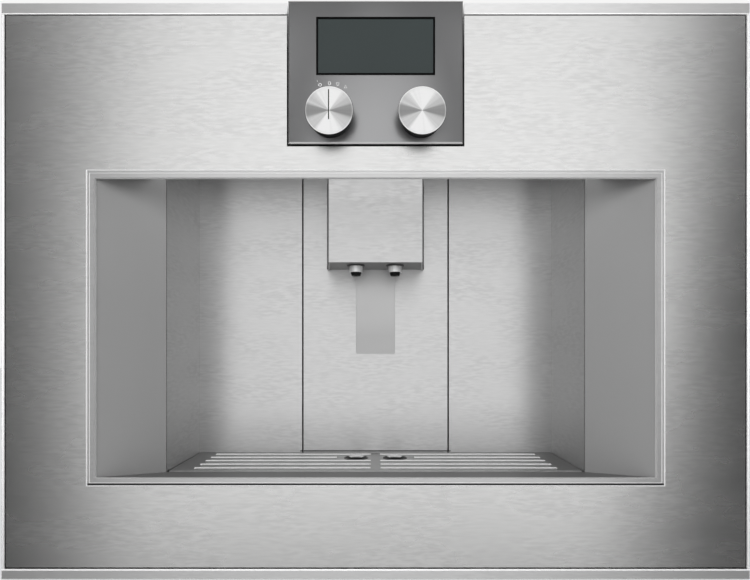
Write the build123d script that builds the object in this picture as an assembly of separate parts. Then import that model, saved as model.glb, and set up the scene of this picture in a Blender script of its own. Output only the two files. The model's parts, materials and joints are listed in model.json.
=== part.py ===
"""Built-in coffee machine: a cabinet body, a hinged steel door with a cup recess, and its works.

Millimetres. X runs to the right, Y runs back into the cabinet, Z runs up. Most places are given
as a depth behind the face of the shut door, because the front is what everything lines up with.
"""
from build123d import *
from math import cos, pi, radians, sin
import os

# The shut door
door_w = 590.0
door_h = 454.0
door_t = 44.0
door_lift = 1.0  # its lower edge above the surface that the machine stands on
door_gap = 3.0  # between the shut door and the body
sheet_t = 1.2
sheet_return = 10.0  # how far the folded edges of the front sheet go back
seam_gap = 1.5  # shadow line between the front sheet and the rails around it
rail_setback = 1.0  # the rails stand this far behind the front sheet's face
rail_wall = 1.5
side_rail_t = 2.6
top_rail_h = 8.9
bottom_rail_h = 8.0
carrier_t = 2.0

# The opening in the door and the splayed liner behind it
opening_z = 80.6
opening_band = 26.2  # front sheet between the opening and the control module
bezel_w = 5.3
bezel_proud = 0.8
bezel_lip = 2.0
bezel_depth = 3.0
bezel_edge = 0.4
liner_t = 1.5
liner_splay = 38.75  # the liner is this much wider at the front than at the back, on each side
liner_rise = 18.0  # the liner's top is this much higher at the back than at the front
sill_step = 0.4  # the liner's floor ends this far below the grate

# Hinge at the left edge
hinge_in = 12.0  # axis from the door's left edge
hinge_back = 17.0  # axis behind the door's face
hinge_end = 24.0  # arms from the door's lower edge and from its top rail
arm_t = 3.0
arm_r = 6.5
arm_across = 21.0  # how far the arm reaches across to the body
pin_r = 3.0
pin_up = 9.0
flange_w = 32.0
flange_h = 30.0
flange_out = 11.0  # the flange's outer edge from the arm's middle
flange_screw = 13.0
block_h = 12.0
pocket_gap = 1.5

# Control module, fixed to the body and standing in a notch of the door
module_w = 136.7
module_h = 111.8
module_proud = 2.5
module_gap = 1.5
swing_gap = 5.15  # wider notch behind the front sheet, for the door's swing
fascia_t = 2.0
fascia_edge = 1.0
housing_inset = 1.0
housing_wall = 2.0
display_w = 93.0
display_h = 45.4
display_drop = 13.1
display_border = 1.5
glass_t = 2.0
board_t = 1.6
board_back = 6.0  # control board behind the fascia
knob_r = 17.75
knob_base_r = 15.8
knob_h = 13.0
knob_edge = 0.6
knob_pitch = 70.6
knob_rise = 19.6  # knob centres above the module's lower edge
knob_float = 0.5
stem_r = 3.0
stem_l = 5.0
bush_wall = 1.4
encoder_w = 14.0

# Body
body_side_overlap = 16.0  # the door covers the niche's edge by this much on each side
body_top_overlap = 6.0
body_d = 345.0
frame_t = 2.0
panel_t = 1.0
foot_h = 4.0
foot_r = 12.0
foot_in = 38.0
pan_t = 1.5
pan_lip = 20.0
cover_lip = 15.0
runner_w = 10.0
runner_h = 4.5
chassis_t = 1.5
chassis_d = 291.0
shelf_lip = 6.5
shelf_gap = 11.0
screw_r = 1.5
screw_l = 6.0
screw_head_r = 3.2
screw_head_h = 1.4
niche_hole_r = 2.25
niche_hole_pitch = 240.0
niche_hole_z = 110.0
niche_hole_back = 12.0
vent_w = 60.0
vent_h = 4.0
vent_pitch = 9.0
vent_rows = 7

# Cup recess
recess_d = 82.0
recess_drop = 89.0  # its roof below the door's upper edge
recess_wall = 1.2
recess_lip = 2.0  # the recess walls reach this far into the gap behind the door
seam_x = 75.5
seam_w = 1.6
wall_return = 8.0
light_w = 90.0
light_d = 10.0
light_x = 100.0
light_back = 14.0
light_t = 2.5

# Height-adjustable coffee outlet
head_w = 88.3
head_rear_w = 98.0
head_d = 49.0
head_drop = 14.0  # its top below the recess's roof
head_h = 87.0
head_wall = 1.2
head_gap = 0.3
head_rise = 1.0  # the block's underside above the cover's lower edge
head_travel = 75.0
slot_w = 40.4
slot_end = 17.5  # slot left below the shoe when the outlet is right down
slot_corner = 1.5
shoe_t = 0.9
shoe_end = 5.0
guide_t = 1.5
guide_over = 6.0
nozzle_pitch = 38.4
nozzle_back = 26.0  # nozzles in front of the recess's back wall
collar_r = 6.6
collar_h = 7.2
collar_edge = 0.4
nozzle_flange_r = 8.8
nozzle_flange_t = 1.2
tip_r = 5.4
tip_drop = 3.2
tip_bore_r = 2.0
pipe_r = 3.0
pipe_pitch = 16.0
pipe_back = 17.0
pipe_over = 4.0  # pipe ends above the block's underside
pipe_above = 10.0
manifold_h = 10.0
running_gap = 0.05  # shafts, stems and pistons in their bores

# Drip tray and grate
grate_z = 75.8
grate_t = 2.4
grate_gap = 0.6
rib_count = 5
rib_pitch = 15.6
rib_w = 3.5
rib_h = 1.0
rib_rear = 12.6  # rearmost rib in front of the recess's back wall
rib_mid_gap = 4.6
rib_side_gap = 20.6
slit_w = 2.5
drain_r = 11.75
drain_hole_r = 4.0
drain_depth = 7.0
drain_wall = 0.8
drain_clear = 19.0
tray_d = 177.5
tray_wall = 2.2
float_r = 12.0
float_h = 14.0
float_in = 42.6  # its middle from the recess's side wall
float_back = 45.0
post_r = 3.0
post_h = 46.0

# Side columns: water tank on the left, beans, powder and brew unit on the right
column_w = 82.7
column_gap = 4.0
frame_clear = 1.0
front_set = 0.5  # fronts of the pull-out parts behind the front frame's face
tank_headroom = 132.0  # between its top and the body's top
tank_d = 164.0
tank_wall = 2.5
tank_corner = 6.0
grip_w = 50.0
grip_h = 20.0
grip_d = 14.0
grip_drop = 12.0
lid_t = 3.0
lid_rim = 4.0
lid_room = 12.0  # above each lid in the front frame
fill_r = 16.0
grounds_d = 182.0
grounds_h = 55.0
bin_wall = 2.0
hopper_z = 330.0
hopper_headroom = 26.0  # between its lid and the body's top
hopper_d = 202.0
hopper_hole_r = 12.0
drawer_z = 255.5
drawer_h = 44.5
drawer_w = 52.0
drawer_d = 72.0

# Grinder
grinder_back = 138.0
grinder_r = 36.0
grinder_h = 74.0
chamber_r = 30.0
chamber_drop = 4.0
chamber_h = 34.0
motor_r = 28.0
motor_h = 41.0
burr_r = 28.0
burr_h = 7.5
cone_r = 20.0
cone_top_r = 10.0
cone_h = 16.0
burr_shaft_r = 4.0
burr_shaft_l = 60.0
burr_lift = 0.5
bracket_h = 12.0
bracket_d = 20.0
chute_w = 24.0
chute_h = 16.0
chute_d = 24.0
chute_r = 8.0
dial_r = 10.0
dial_t = 10.0
dial_in = 13.0
dial_gap = 0.6
dial_cup_wall = 2.0
dial_shaft_l = 15.0

# Brew unit
brew_w = 73.0
brew_d = 92.0
brew_h = 161.5
brew_back = 9.0
cylinder_r = 24.0
cylinder_back = 44.0
cylinder_z = 51.5  # the cylinder's floor above the shelf
cavity_w = 44.0
cavity_z = 7.5
piston_h = 14.0
piston_z = 10.0
piston_skin = 2.0
piston_travel = 28.0
stem_outer_r = 8.0
stem_drop = 38.0
spindle_r = 4.0
spindle_foot = 6.0
spindle_gear_r = 14.0
spindle_gear_h = 6.0
spindle_gear_z = 2.0
spindle_lead = 7.0
lever_r = 10.0
lever_l = 38.0
lever_w = 12.0
lever_t = 4.5
lever_hub_t = 6.2
lever_z = 136.5
lever_pin_r = 4.0
lever_pin_l = 6.3

# Mains switch and door switch in the front frame
rocker_w = 26.0
rocker_h = 15.0
rocker_d = 9.0
rocker_gap = 0.5
rocker_set = 1.0
rocker_pivot_r = 1.5
rocker_pivot_l = 2.0
switch_wall = 3.0
rocker_rise = 40.0  # above the door switch
plunger_r = 2.4
plunger_l = 17.0
plunger_clear = 0.3
plunger_collar_r = 4.2
plunger_collar_t = 2.0
plunger_boss_r = 6.5
plunger_boss_l = 11.0
plunger_rise = 28.0  # above the tank
magnet_w = 32.0
magnet_h = 7.0
magnet_proud = 1.5

# Works behind the recess
heater_w = 120.0
heater_d = 60.0
heater_h = 70.0
heater_z = 180.0
pump_r = 22.0
pump_l = 80.0
pump_back = 13.0
pump_foot_w = 30.0
power_d = 160.0
power_h = 280.0
power_z = 120.0
power_back = 20.0
transformer_w = 32.0
transformer_d = 60.0
transformer_h = 70.0
hose_r = 3.0
inlet_w = 28.0
inlet_h = 21.0
inlet_d = 24.0
inlet_wall = 1.8
inlet_floor = 4.0
inlet_in = 69.0  # from the body's left edge
inlet_z = 60.0
blade_w = 2.0
blade_h = 4.0
blade_l = 14.0

# Worked out from the sizes above
total_d = knob_h + module_proud + door_t + door_gap + body_d
front_y = -total_d / 2 + knob_h + module_proud
door_half = door_w / 2
door_z0 = door_lift
door_z1 = door_lift + door_h
sheet_half = door_half - side_rail_t - seam_gap
sheet_z0 = door_z0 + bottom_rail_h + seam_gap
sheet_z1 = door_z1 - top_rail_h - seam_gap
body_half = door_half - body_side_overlap
body_top = door_z1 - body_top_overlap
body_front = door_t + door_gap
body_rear = body_front + body_d
frame_back = body_front + frame_t
pan_top = foot_h + pan_t
column_out = body_half - panel_t - column_gap - frame_clear
column_in = column_out - column_w
column_mid = (column_in + column_out) / 2
chassis_outer = column_in - frame_clear - column_gap
wall_outer = chassis_outer - chassis_t
recess_half = wall_outer - recess_wall
module_half = module_w / 2
module_z0 = door_z1 - module_h
opening_half = recess_half + liner_splay
opening_top = module_z0 - opening_band
liner_top = opening_top + liner_rise
liner_sill = grate_z - sill_step
recess_top = door_z1 - recess_drop
notch_half = module_half + module_gap
notch_z = module_z0 - module_gap
swing_half = module_half + swing_gap
fascia_back = fascia_t - module_proud
knob_x = knob_pitch / 2
knob_z = module_z0 + knob_rise
display_top = door_z1 - display_drop
display_z0 = display_top - display_h
hinge_x = -door_half + hinge_in
arm_low_z = door_z0 + hinge_end
arm_high_z = door_z1 - top_rail_h - hinge_end
recess_back = body_front + recess_d
tray_top = grate_z - grate_t
panel_z0 = tray_top + head_gap
bulkhead_d = recess_back + wall_return + recess_wall
bulkhead_back = bulkhead_d + chassis_t
ceiling_top = recess_top + recess_wall
tray_z0 = pan_top + runner_h
shelf_top = tray_z0 + grounds_h + shelf_gap + chassis_t
pull_front = body_front + front_set
head_front = recess_back - head_d
head_half = head_w / 2
head_rear_half = head_rear_w / 2
head_rear = recess_back - head_gap
head_top = recess_top - head_drop
head_z = head_top - head_h
block_z = head_z + head_rise
block_top = head_top - head_rise
slot_z = block_z + shoe_end - head_travel - slot_end
nozzle_d = recess_back - nozzle_back
pipe_d = recess_back - pipe_back
tank_top = body_top - tank_headroom
plunger_z = tank_top + plunger_rise
rocker_z = plunger_z + rocker_rise
inlet_x = inlet_in - body_half
hopper_h = body_top - hopper_headroom - lid_t - hopper_z
grinder_d = body_front + grinder_back
grinder_z = hopper_z - grinder_h
chamber_top = hopper_z - chamber_drop
chamber_z = chamber_top - chamber_h
motor_z = grinder_z - motor_h
brew_front = body_front + brew_back
brew_top = shelf_top + brew_h
brew_rear = brew_front + brew_d
cylinder_d = brew_front + cylinder_back
brew_floor = shelf_top + cylinder_z
cavity_floor = shelf_top + cavity_z
piston_foot = brew_floor + piston_z
piston_bottom = piston_foot - stem_drop
dial_x = column_out - dial_in
dial_z = drawer_z + drawer_h / 2
drawer_x0 = column_in + frame_clear
float_x = recess_half - float_in


def block(x0, x1, d0, d1, z0, z1):
    """A box between two X, two depths behind the door's face, and two heights."""
    centre = Pos((x0 + x1) / 2, front_y + (d0 + d1) / 2, (z0 + z1) / 2)
    return centre * Box(x1 - x0, d1 - d0, z1 - z0)


def rod(axis, x, depth, z, length, radius):
    """A round bar that starts at a point and runs along +X, +Y or +Z."""
    ways = {"x": (1, 0, 0), "y": (0, 1, 0), "z": (0, 0, 1)}
    start = Plane(origin=(x, front_y + depth, z), z_dir=ways[axis])
    return start * Cylinder(radius, length, align=(Align.CENTER, Align.CENTER, Align.MIN))


def cone(x, depth, z, height, low_r, high_r):
    """An upright cone frustum."""
    start = Plane(origin=(x, front_y + depth, z), z_dir=(0, 0, 1))
    return start * Cone(low_r, high_r, height, align=(Align.CENTER, Align.CENTER, Align.MIN))


def front_prism(points, d0, d1):
    """A solid with an outline of (x, z) points between two depths."""
    corners = [Vector(x, front_y + d0, z) for x, z in points]
    face = Face(Wire.make_polygon(corners, close=True))
    return Solid.extrude(face, Vector(0, d1 - d0, 0))


def plan_prism(points, z0, z1):
    """A solid with an outline of (x, depth) points between two heights."""
    corners = [Vector(x, front_y + depth, z0) for x, depth in points]
    face = Face(Wire.make_polygon(corners, close=True))
    return Solid.extrude(face, Vector(0, 0, z1 - z0))


def tunnel(front, d0, rear, d1):
    """A solid that runs from one (half width, z0, z1) rectangle to another further back."""
    wires = []
    for (half, z0, z1), depth in ((front, d0), (rear, d1)):
        corners = [(-half, z0), (half, z0), (half, z1), (-half, z1)]
        points = [Vector(x, front_y + depth, z) for x, z in corners]
        wires.append(Wire.make_polygon(points, close=True))
    return Solid.make_loft(wires, True)


def grown(rectangle, by):
    """A (half width, z0, z1) rectangle made larger all round."""
    half, z0, z1 = rectangle
    return half + by, z0 - by, z1 + by


def mirrored(shape):
    """The same piece on the other side of the machine."""
    return mirror(shape, about=Plane.YZ)


def bin_shell(x0, x1, d0, d1, z0, z1, wall, corner):
    """An open-topped container with rounded upright corners."""
    outer = block(x0, x1, d0, d1, z0, z1)
    outer = fillet(outer.edges().filter_by(Axis.Z), corner)
    inner = block(x0 + wall, x1 - wall, d0 + wall, d1 - wall, z0 + wall, z1 + wall)
    inner = fillet(inner.edges().filter_by(Axis.Z), corner - wall / 2)
    return outer - inner


def door_outline(side, low, high, notch_side, notch_low):
    """The door's (x, z) outline with the control module's notch in its upper edge."""
    return [
        (-side, low),
        (side, low),
        (side, high),
        (notch_side, high),
        (notch_side, notch_low),
        (-notch_side, notch_low),
        (-notch_side, high),
        (-side, high),
    ]


def module_notch():
    """What the control module needs free in every part of the door."""
    front = block(-notch_half, notch_half, -1, sheet_return, notch_z, door_z1 + 1)
    behind = block(-swing_half, swing_half, sheet_return, door_t + 1, notch_z, door_z1 + 1)
    return front + behind


def hinge_pockets():
    """Room in the door's left edge for the two hinge arms, all the way round their swing."""
    pockets = []
    for z in (arm_low_z, arm_high_z):
        x1 = hinge_x + arm_across + arm_r + pocket_gap
        d0 = hinge_back - arm_r - pocket_gap
        low = z - pocket_gap
        high = z + arm_t + pocket_gap
        pockets.append(block(-door_half - 1, x1, d0, door_t + 1, low, high))
    return pockets


def liner_solid(extra):
    """The liner's tapered space, made larger all round for its outside."""
    front = grown((opening_half, opening_z, opening_top), extra)
    rear = grown((recess_half, liner_sill, liner_top), extra)
    return tunnel(front, bezel_depth, rear, door_t)


def door_sheet():
    """Brushed front sheet: a shallow pan with the cup opening and the module's notch."""
    outline = door_outline(sheet_half, sheet_z0, sheet_z1, notch_half, notch_z)
    inside = door_outline(
        sheet_half - sheet_t,
        sheet_z0 + sheet_t,
        sheet_z1 - sheet_t,
        notch_half + sheet_t,
        notch_z - sheet_t,
    )
    sheet = front_prism(outline, 0, sheet_return)
    sheet -= front_prism(inside, sheet_t, sheet_return + 1)
    half, z0, z1 = grown((opening_half, opening_z, opening_top), bezel_lip)
    sheet -= block(-half, half, -1, sheet_t + 1, z0, z1)
    for pocket in hinge_pockets():
        sheet -= pocket
    return sheet


def door_bezel():
    """Polished frame round the opening, with a lip that goes back through the sheet."""
    inner = (opening_half, opening_z, opening_top)
    half, z0, z1 = grown(inner, bezel_w)
    flange = block(-half, half, -bezel_proud, 0, z0, z1)
    rim = flange.edges().group_by(Axis.Y)[0]
    flange = chamfer(rim, bezel_edge)
    half, z0, z1 = grown(inner, bezel_lip)
    flange += block(-half, half, 0, bezel_depth, z0, z1)
    half, z0, z1 = inner
    return flange - block(-half, half, -bezel_proud - 1, bezel_depth + 1, z0, z1)


def door_liner():
    """Splayed tunnel from the bezel back to the cup recess."""
    return liner_solid(liner_t) - liner_solid(0)


def door_carrier():
    """Inner pan of the door: it holds the sheet, the rails, the liner and the hinge blocks."""
    side = door_half - side_rail_t
    low = door_z0 + bottom_rail_h
    high = door_z1 - top_rail_h
    notch_low = notch_z - sheet_t
    outer = door_outline(side, low, high, swing_half, notch_low)
    inner = door_outline(
        side - seam_gap,
        low + seam_gap,
        high - seam_gap,
        swing_half + seam_gap,
        notch_low - seam_gap,
    )
    edge = sheet_return - 2
    pan = front_prism(outer, edge, door_t) - front_prism(inner, edge - 1, door_t - carrier_t)
    pan -= liner_solid(liner_t)
    notch_side = swing_half + seam_gap
    pan -= block(-notch_side, notch_side, edge - 1, sheet_return, notch_low, door_z1)
    for pocket in hinge_pockets():
        pan -= pocket
    return pan


def door_side(left):
    """Side rail, seen from the front as a narrow bright strip."""
    z0 = door_z0 + bottom_rail_h
    z1 = door_z1 - top_rail_h
    if not left:
        return block(door_half - side_rail_t, door_half, rail_setback, door_t, z0, z1)
    rail = block(-door_half, side_rail_t - door_half, rail_setback, door_t, z0, z1)
    for pocket in hinge_pockets():
        rail -= pocket
    return rail


def rail_channel(z0, z1, low, high, solid_half):
    """A rail over the door's full width, hollow between two heights except in its middle."""
    rail = block(-door_half, door_half, rail_setback, door_t, z0, z1)
    d0 = rail_setback + rail_wall
    hollow = block(solid_half, door_half - rail_wall, d0, door_t - rail_wall, low, high)
    return rail - hollow - mirrored(hollow)


def door_rails():
    """Top rail, in two lengths beside the module, and bottom rail."""
    z0 = door_z1 - top_rail_h
    top = rail_channel(z0, door_z1, z0 - 1, door_z1 - rail_wall, swing_half + rail_wall)
    z1 = door_z0 + bottom_rail_h
    bottom = rail_channel(door_z0, z1, door_z0 + rail_wall, z1 + 1, 0)
    return [*(top - module_notch()).solids(), bottom]


def hinge_blocks():
    """Bored blocks on the door that turn on the hinge pins."""
    blocks = []
    for z in (arm_low_z, arm_high_z):
        low = z + arm_t + pocket_gap / 3
        x0 = side_rail_t + seam_gap - door_half
        x1 = hinge_x + hinge_in - pin_r
        body = block(x0, x1, sheet_return + 0.5, hinge_back + pin_r * 3, low, low + block_h)
        depth = pin_up - pocket_gap / 3 + 0.5
        body -= rod("z", hinge_x, hinge_back, low - 1, depth + 1, pin_r + running_gap)
        blocks.append(body)
    return blocks


def hinge_arm(z):
    """One hinge bracket: an arm forward into the door and a flange behind the front frame."""
    tail_x = hinge_x + arm_across
    half = arm_r
    outline = [
        (hinge_x - half * 0.6, hinge_back + half * 0.75),
        (hinge_x + half * 0.75, hinge_back - half * 0.6),
        (tail_x + half, body_front - half),
        (tail_x + half, frame_back),
        (tail_x - half, frame_back),
        (tail_x - half, body_front - half),
    ]
    arm = plan_prism(outline, z, z + arm_t)
    arm += rod("z", hinge_x, hinge_back, z, arm_t, arm_r)
    arm -= rod("z", hinge_x, hinge_back, z - 1, arm_t + 2, pin_r)
    x0 = tail_x - flange_out
    z0 = z - flange_h / 2
    flange = block(x0, x0 + flange_w, frame_back, frame_back + arm_t, z0, z0 + flange_h)
    bracket = arm + flange
    for x in hinge_screw_x():
        for screw_z in hinge_screw_z(z):
            bracket -= rod("y", x, frame_back - 1, screw_z, arm_t + 2, screw_r)
    return bracket


def hinge_screw_x():
    """Where the screws of a hinge flange are, across."""
    tail_x = hinge_x + arm_across
    return (tail_x, tail_x + flange_screw)


def hinge_screw_z(z):
    """Where the screws of a hinge flange are, above and below its arm."""
    return (z - flange_h / 3, z + flange_h / 3)


def hinge_brackets():
    return [hinge_arm(arm_low_z), hinge_arm(arm_high_z)]


def hinge_pins():
    levels = (arm_low_z, arm_high_z)
    return [rod("z", hinge_x, hinge_back, z, arm_t + pin_up, pin_r) for z in levels]


def module_fascia():
    """Front plate of the control module."""
    z1 = door_z1
    plate = block(-module_half, module_half, -module_proud, fascia_back, module_z0, z1)
    plate = chamfer(plate.edges().group_by(Axis.Y)[0], fascia_edge)
    half = display_w / 2
    plate -= block(-half, half, -module_proud - 1, fascia_back + 1, display_z0, display_top)
    for x in (-knob_x, knob_x):
        plate -= rod("y", x, -module_proud - 1, knob_z, fascia_t + 2, stem_r + bush_wall)
    return plate


def display_frame():
    """Black border of the display."""
    half = display_w / 2
    inner = half - display_border
    z0 = display_z0 + display_border
    z1 = display_top - display_border
    ring = block(-half, half, -module_proud - 0.2, fascia_back, display_z0, display_top)
    return ring - block(-inner, inner, -module_proud - 1, fascia_back + 1, z0, z1)


def display_glass():
    half = display_w / 2 - display_border
    z0 = display_z0 + display_border
    z1 = display_top - display_border
    return block(-half, half, fascia_back - glass_t + 0.2, fascia_back, z0, z1)


def module_housing():
    """Box behind the fascia, open at the front and fixed to the body's front frame."""
    half = module_half - housing_inset
    z0 = module_z0 + housing_inset
    z1 = door_z1 - housing_inset
    wall = housing_wall
    box = block(-half, half, fascia_back, body_front, z0, z1)
    box -= block(-half + wall, half - wall, fascia_back - 1, body_front - wall, z0 + wall, z1 - wall)
    return box - rod("y", 0, body_front - wall - 1, cable_z(), wall + 2, cable_r())


def cable_z():
    """Height of the cable hole between the module and the body."""
    return (ceiling_top + body_top) / 2


def cable_r():
    return (body_top - ceiling_top) / 6


def control_board():
    """Circuit board with the display's light box."""
    half = module_half - housing_inset - housing_wall
    z0 = module_z0 + housing_inset + housing_wall
    z1 = door_z1 - housing_inset - housing_wall
    d0 = fascia_back + board_back
    board = block(-half, half, d0, d0 + board_t, z0, z1)
    edge = display_w / 2 - display_border
    low = display_z0 + display_border
    return board + block(-edge, edge, fascia_back, d0, low, display_top - display_border)


def knob_encoders():
    """Rotary switches between the board and the fascia, with the knobs' bushes."""
    encoders = []
    for x in (-knob_x, knob_x):
        half = encoder_w / 2
        z0 = knob_z - half
        body = block(x - half, x + half, fascia_back, fascia_back + board_back, z0, z0 + encoder_w)
        body += rod("y", x, -module_proud, knob_z, fascia_t, stem_r + bush_wall)
        bore_l = stem_l + 1
        body -= rod("y", x, -module_proud - 1, knob_z, bore_l, stem_r + running_gap)
        encoders.append(body)
    return encoders


def knob(x):
    """Turned metal knob, slightly wider at its face, with the stem it turns on."""
    rear = -module_proud - knob_float
    start = Plane(origin=(x, front_y + rear, knob_z), z_dir=(0, -1, 0))
    length = knob_h - knob_float
    cap = start * Cone(
        knob_base_r, knob_r, length, align=(Align.CENTER, Align.CENTER, Align.MIN)
    )
    cap = chamfer(cap.edges().group_by(Axis.Y)[0], knob_edge)
    return cap + rod("y", x, rear, knob_z, stem_l, stem_r)


def feet():
    """Four rubber feet under the base."""
    spots = [(x, d) for x in (-1, 1) for d in (body_front + foot_in, body_rear - foot_in)]
    return [rod("z", x * (body_half - foot_in), d, 0, foot_h, foot_r) for x, d in spots]


def base_pan():
    """Floor of the body with upturned sides and runners for the tray and the grounds bin."""
    half = body_half - panel_t
    rear = body_rear - panel_t
    pan = block(-half, half, frame_back, rear, foot_h, pan_top)
    for x in (-half, half - pan_t):
        pan += block(x, x + pan_t, frame_back, rear, foot_h, foot_h + pan_lip)
    end = tray_d + body_front - runner_w
    tray_x = recess_half * 0.6
    bin_x = (column_out - column_in) / 4
    for x in (-tray_x, tray_x, column_mid - bin_x, column_mid + bin_x):
        pan += block(x - runner_w / 2, x + runner_w / 2, frame_back, end, pan_top, tray_z0)
    for x, z in side_screws():
        for side in (-1, 1):
            if z < body_top / 2:
                pan -= side_screw_hole(side, x, z)
    return pan


def side_screws():
    """(depth, height) of the screws along each side, at the pan's lip and the cover's lip."""
    depths = [body_front + body_d * share for share in (0.12, 0.5, 0.88)]
    levels = (foot_h + pan_lip / 2, body_top - cover_lip / 2)
    return [(d, z) for d in depths for z in levels]


def side_screw_hole(side, depth, z):
    x = body_half - screw_l if side > 0 else -body_half
    return rod("x", x, depth, z, screw_l, screw_r)


def side_panel(side):
    """Outer side of the body, with the two holes that fix the machine in its niche."""
    x0 = body_half - panel_t if side > 0 else -body_half
    rear = body_rear - panel_t
    panel = block(x0, x0 + panel_t, frame_back, rear, foot_h, body_top - panel_t)
    for depth, z in side_screws():
        panel -= side_screw_hole(side, depth, z)
    for z in (niche_hole_z, niche_hole_z + niche_hole_pitch):
        depth = body_front + niche_hole_back
        panel -= rod("x", x0 - 1, depth, z, panel_t + 2, niche_hole_r)
    return panel


def vent_slots(d0, d1, z):
    """A block of slots through a thin wall, at one height range."""
    slots = []
    for row in range(vent_rows):
        low = z + row * vent_pitch
        slots.append(block(-vent_w / 2, vent_w / 2, d0, d1, low, low + vent_h))
    return slots


def rear_panel():
    """Back of the body, with vents and the hole of the mains inlet."""
    panel = block(-body_half, body_half, body_rear - panel_t, body_rear, foot_h, body_top)
    for x in (-vent_w * 1.2, vent_w * 1.2):
        for slot in vent_slots(body_rear - panel_t - 1, body_rear + 1, body_top * 0.6):
            panel -= Pos(x, 0, 0) * slot
    half = inlet_w / 2
    z0 = inlet_z - inlet_h / 2
    d0 = body_rear - panel_t - 1
    hole = block(inlet_x - half, inlet_x + half, d0, body_rear + 1, z0, z0 + inlet_h)
    return panel - hole


def top_cover():
    """Lid of the body, with lips down its sides and a field of steam vents."""
    rear = body_rear - panel_t
    z0 = body_top - panel_t
    cover = block(-body_half, body_half, frame_back, rear, z0, body_top)
    for x in (-body_half + panel_t, body_half - panel_t * 2):
        cover += block(x, x + panel_t, frame_back, rear, body_top - cover_lip, z0)
    for depth, z in side_screws():
        if z > body_top / 2:
            for side in (-1, 1):
                cover -= side_screw_hole(side, depth, z)
    for row in range(vent_rows):
        d0 = recess_back + vent_w + row * vent_pitch
        cover -= block(-vent_w, vent_w, d0, d0 + vent_h, z0 - 1, body_top + 1)
    return cover


def column_opening(z0, z1, left):
    """A hole in the front frame for something that pulls out of a side column."""
    x0 = column_in - frame_clear
    x1 = column_out + frame_clear
    hole = block(x0, x1, body_front - 1, frame_back + 1, z0 - frame_clear, z1 + frame_clear)
    return mirrored(hole) if left else hole


def front_frame():
    """Front wall of the body, with every opening and the seats of the two switches and dial."""
    frame = block(-body_half, body_half, body_front, frame_back, foot_h, body_top)
    d0 = body_front - 1
    d1 = frame_back + 1
    frame -= block(-wall_outer, wall_outer, d0, d1, tray_z0 - frame_clear, ceiling_top)
    frame -= column_opening(shelf_top + frame_clear, tank_top + lid_t + lid_room, True)
    frame -= column_opening(tray_z0, tray_z0 + grounds_h, False)
    frame -= column_opening(shelf_top + frame_clear, brew_top, False)
    frame -= column_opening(hopper_z, hopper_z + hopper_h + lid_t + lid_room, False)
    x0 = drawer_x0 - frame_clear
    x1 = drawer_x0 + drawer_w + frame_clear
    frame -= block(x0, x1, d0, d1, drawer_z, drawer_z + drawer_h + frame_clear)
    frame -= rod("y", 0, d0, cable_z(), frame_t + 2, cable_r())
    for z in (arm_low_z, arm_high_z):
        tail_x = hinge_x + arm_across
        x0 = tail_x - arm_r
        frame -= block(x0, tail_x + arm_r, d0, d1, z, z + arm_t)
        for x in hinge_screw_x():
            for screw_z in hinge_screw_z(z):
                frame -= rod("y", x, d0, screw_z, frame_t + 2, screw_r)
    for x, z in shelf_screws():
        frame -= rod("y", x, d0, z, frame_t + 2, screw_r)
    for magnet in door_magnets():
        frame -= magnet
    return rocker_seat(plunger_seat(dial_seat(frame)))


def dial_seat(frame):
    """Adds the cup of the grind dial to the front frame."""
    inner_r = dial_r + dial_gap
    depth = dial_t + dial_gap
    outer_r = inner_r + dial_cup_wall
    frame += rod("y", dial_x, frame_back, dial_z, depth - frame_t + dial_cup_wall, outer_r)
    frame -= rod("y", dial_x, body_front - 1, dial_z, depth + 1, inner_r)
    return frame - rod("y", dial_x, frame_back, dial_z, dial_t * 2, stem_r + running_gap)


def plunger_seat(frame):
    """Adds the guide of the door switch to the front frame."""
    x = -column_mid
    frame += rod("y", x, frame_back, plunger_z, plunger_boss_l, plunger_boss_r)
    length = plunger_boss_l + frame_t
    frame -= rod("y", x, body_front - 1, plunger_z, length + 2, plunger_r + running_gap)
    chamber_l = plunger_boss_l - 3
    chamber = plunger_collar_r + running_gap * 4
    return frame - rod("y", x, frame_back + 1, plunger_z, chamber_l, chamber)


def rocker_seat(frame):
    """Adds the open box of the mains switch to the front frame."""
    x = -column_mid
    half_w = rocker_w / 2 + rocker_gap
    half_h = rocker_h / 2 + rocker_gap * 2
    depth = rocker_d + rocker_set + switch_wall
    x0 = x - half_w - switch_wall
    x1 = x + half_w + switch_wall
    z0 = rocker_z - half_h - switch_wall
    z1 = rocker_z + half_h + switch_wall
    rear = frame_back + depth
    frame += block(x0, x1, frame_back, rear, z0, z1)
    floor = rear - switch_wall
    frame -= block(x - half_w, x + half_w, body_front - 1, floor, rocker_z - half_h, rocker_z + half_h)
    pivot_l = rocker_w + rocker_gap * 2 + rocker_pivot_l * 2
    hole = rod("x", x - pivot_l / 2, rocker_axis_d(), rocker_z, pivot_l, rocker_pivot_r + running_gap)
    return frame - hole


def rocker_axis_d():
    """Depth of the mains rocker's pivots."""
    return body_front + rocker_set + rocker_d * 2 / 3


def mains_rocker():
    """Rocker of the mains switch, behind the door, with its two pivots."""
    x = -column_mid
    d0 = body_front + rocker_set
    half = rocker_h / 2
    rise = rocker_d * 2 / 3
    outline = [
        (rocker_z - half, d0),
        (rocker_z + half, d0),
        (rocker_z + half, d0 + rise / 2),
        (rocker_z + half / 2, d0 + rocker_d),
        (rocker_z - half / 2, d0 + rocker_d),
        (rocker_z - half, d0 + rise / 2),
    ]
    corners = [Vector(x - rocker_w / 2, front_y + depth, z) for z, depth in outline]
    face = Face(Wire.make_polygon(corners, close=True))
    rocker = Solid.extrude(face, Vector(rocker_w, 0, 0))
    length = rocker_w + rocker_pivot_l * 2
    return rocker + rod("x", x - length / 2, rocker_axis_d(), rocker_z, length, rocker_pivot_r)


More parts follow.
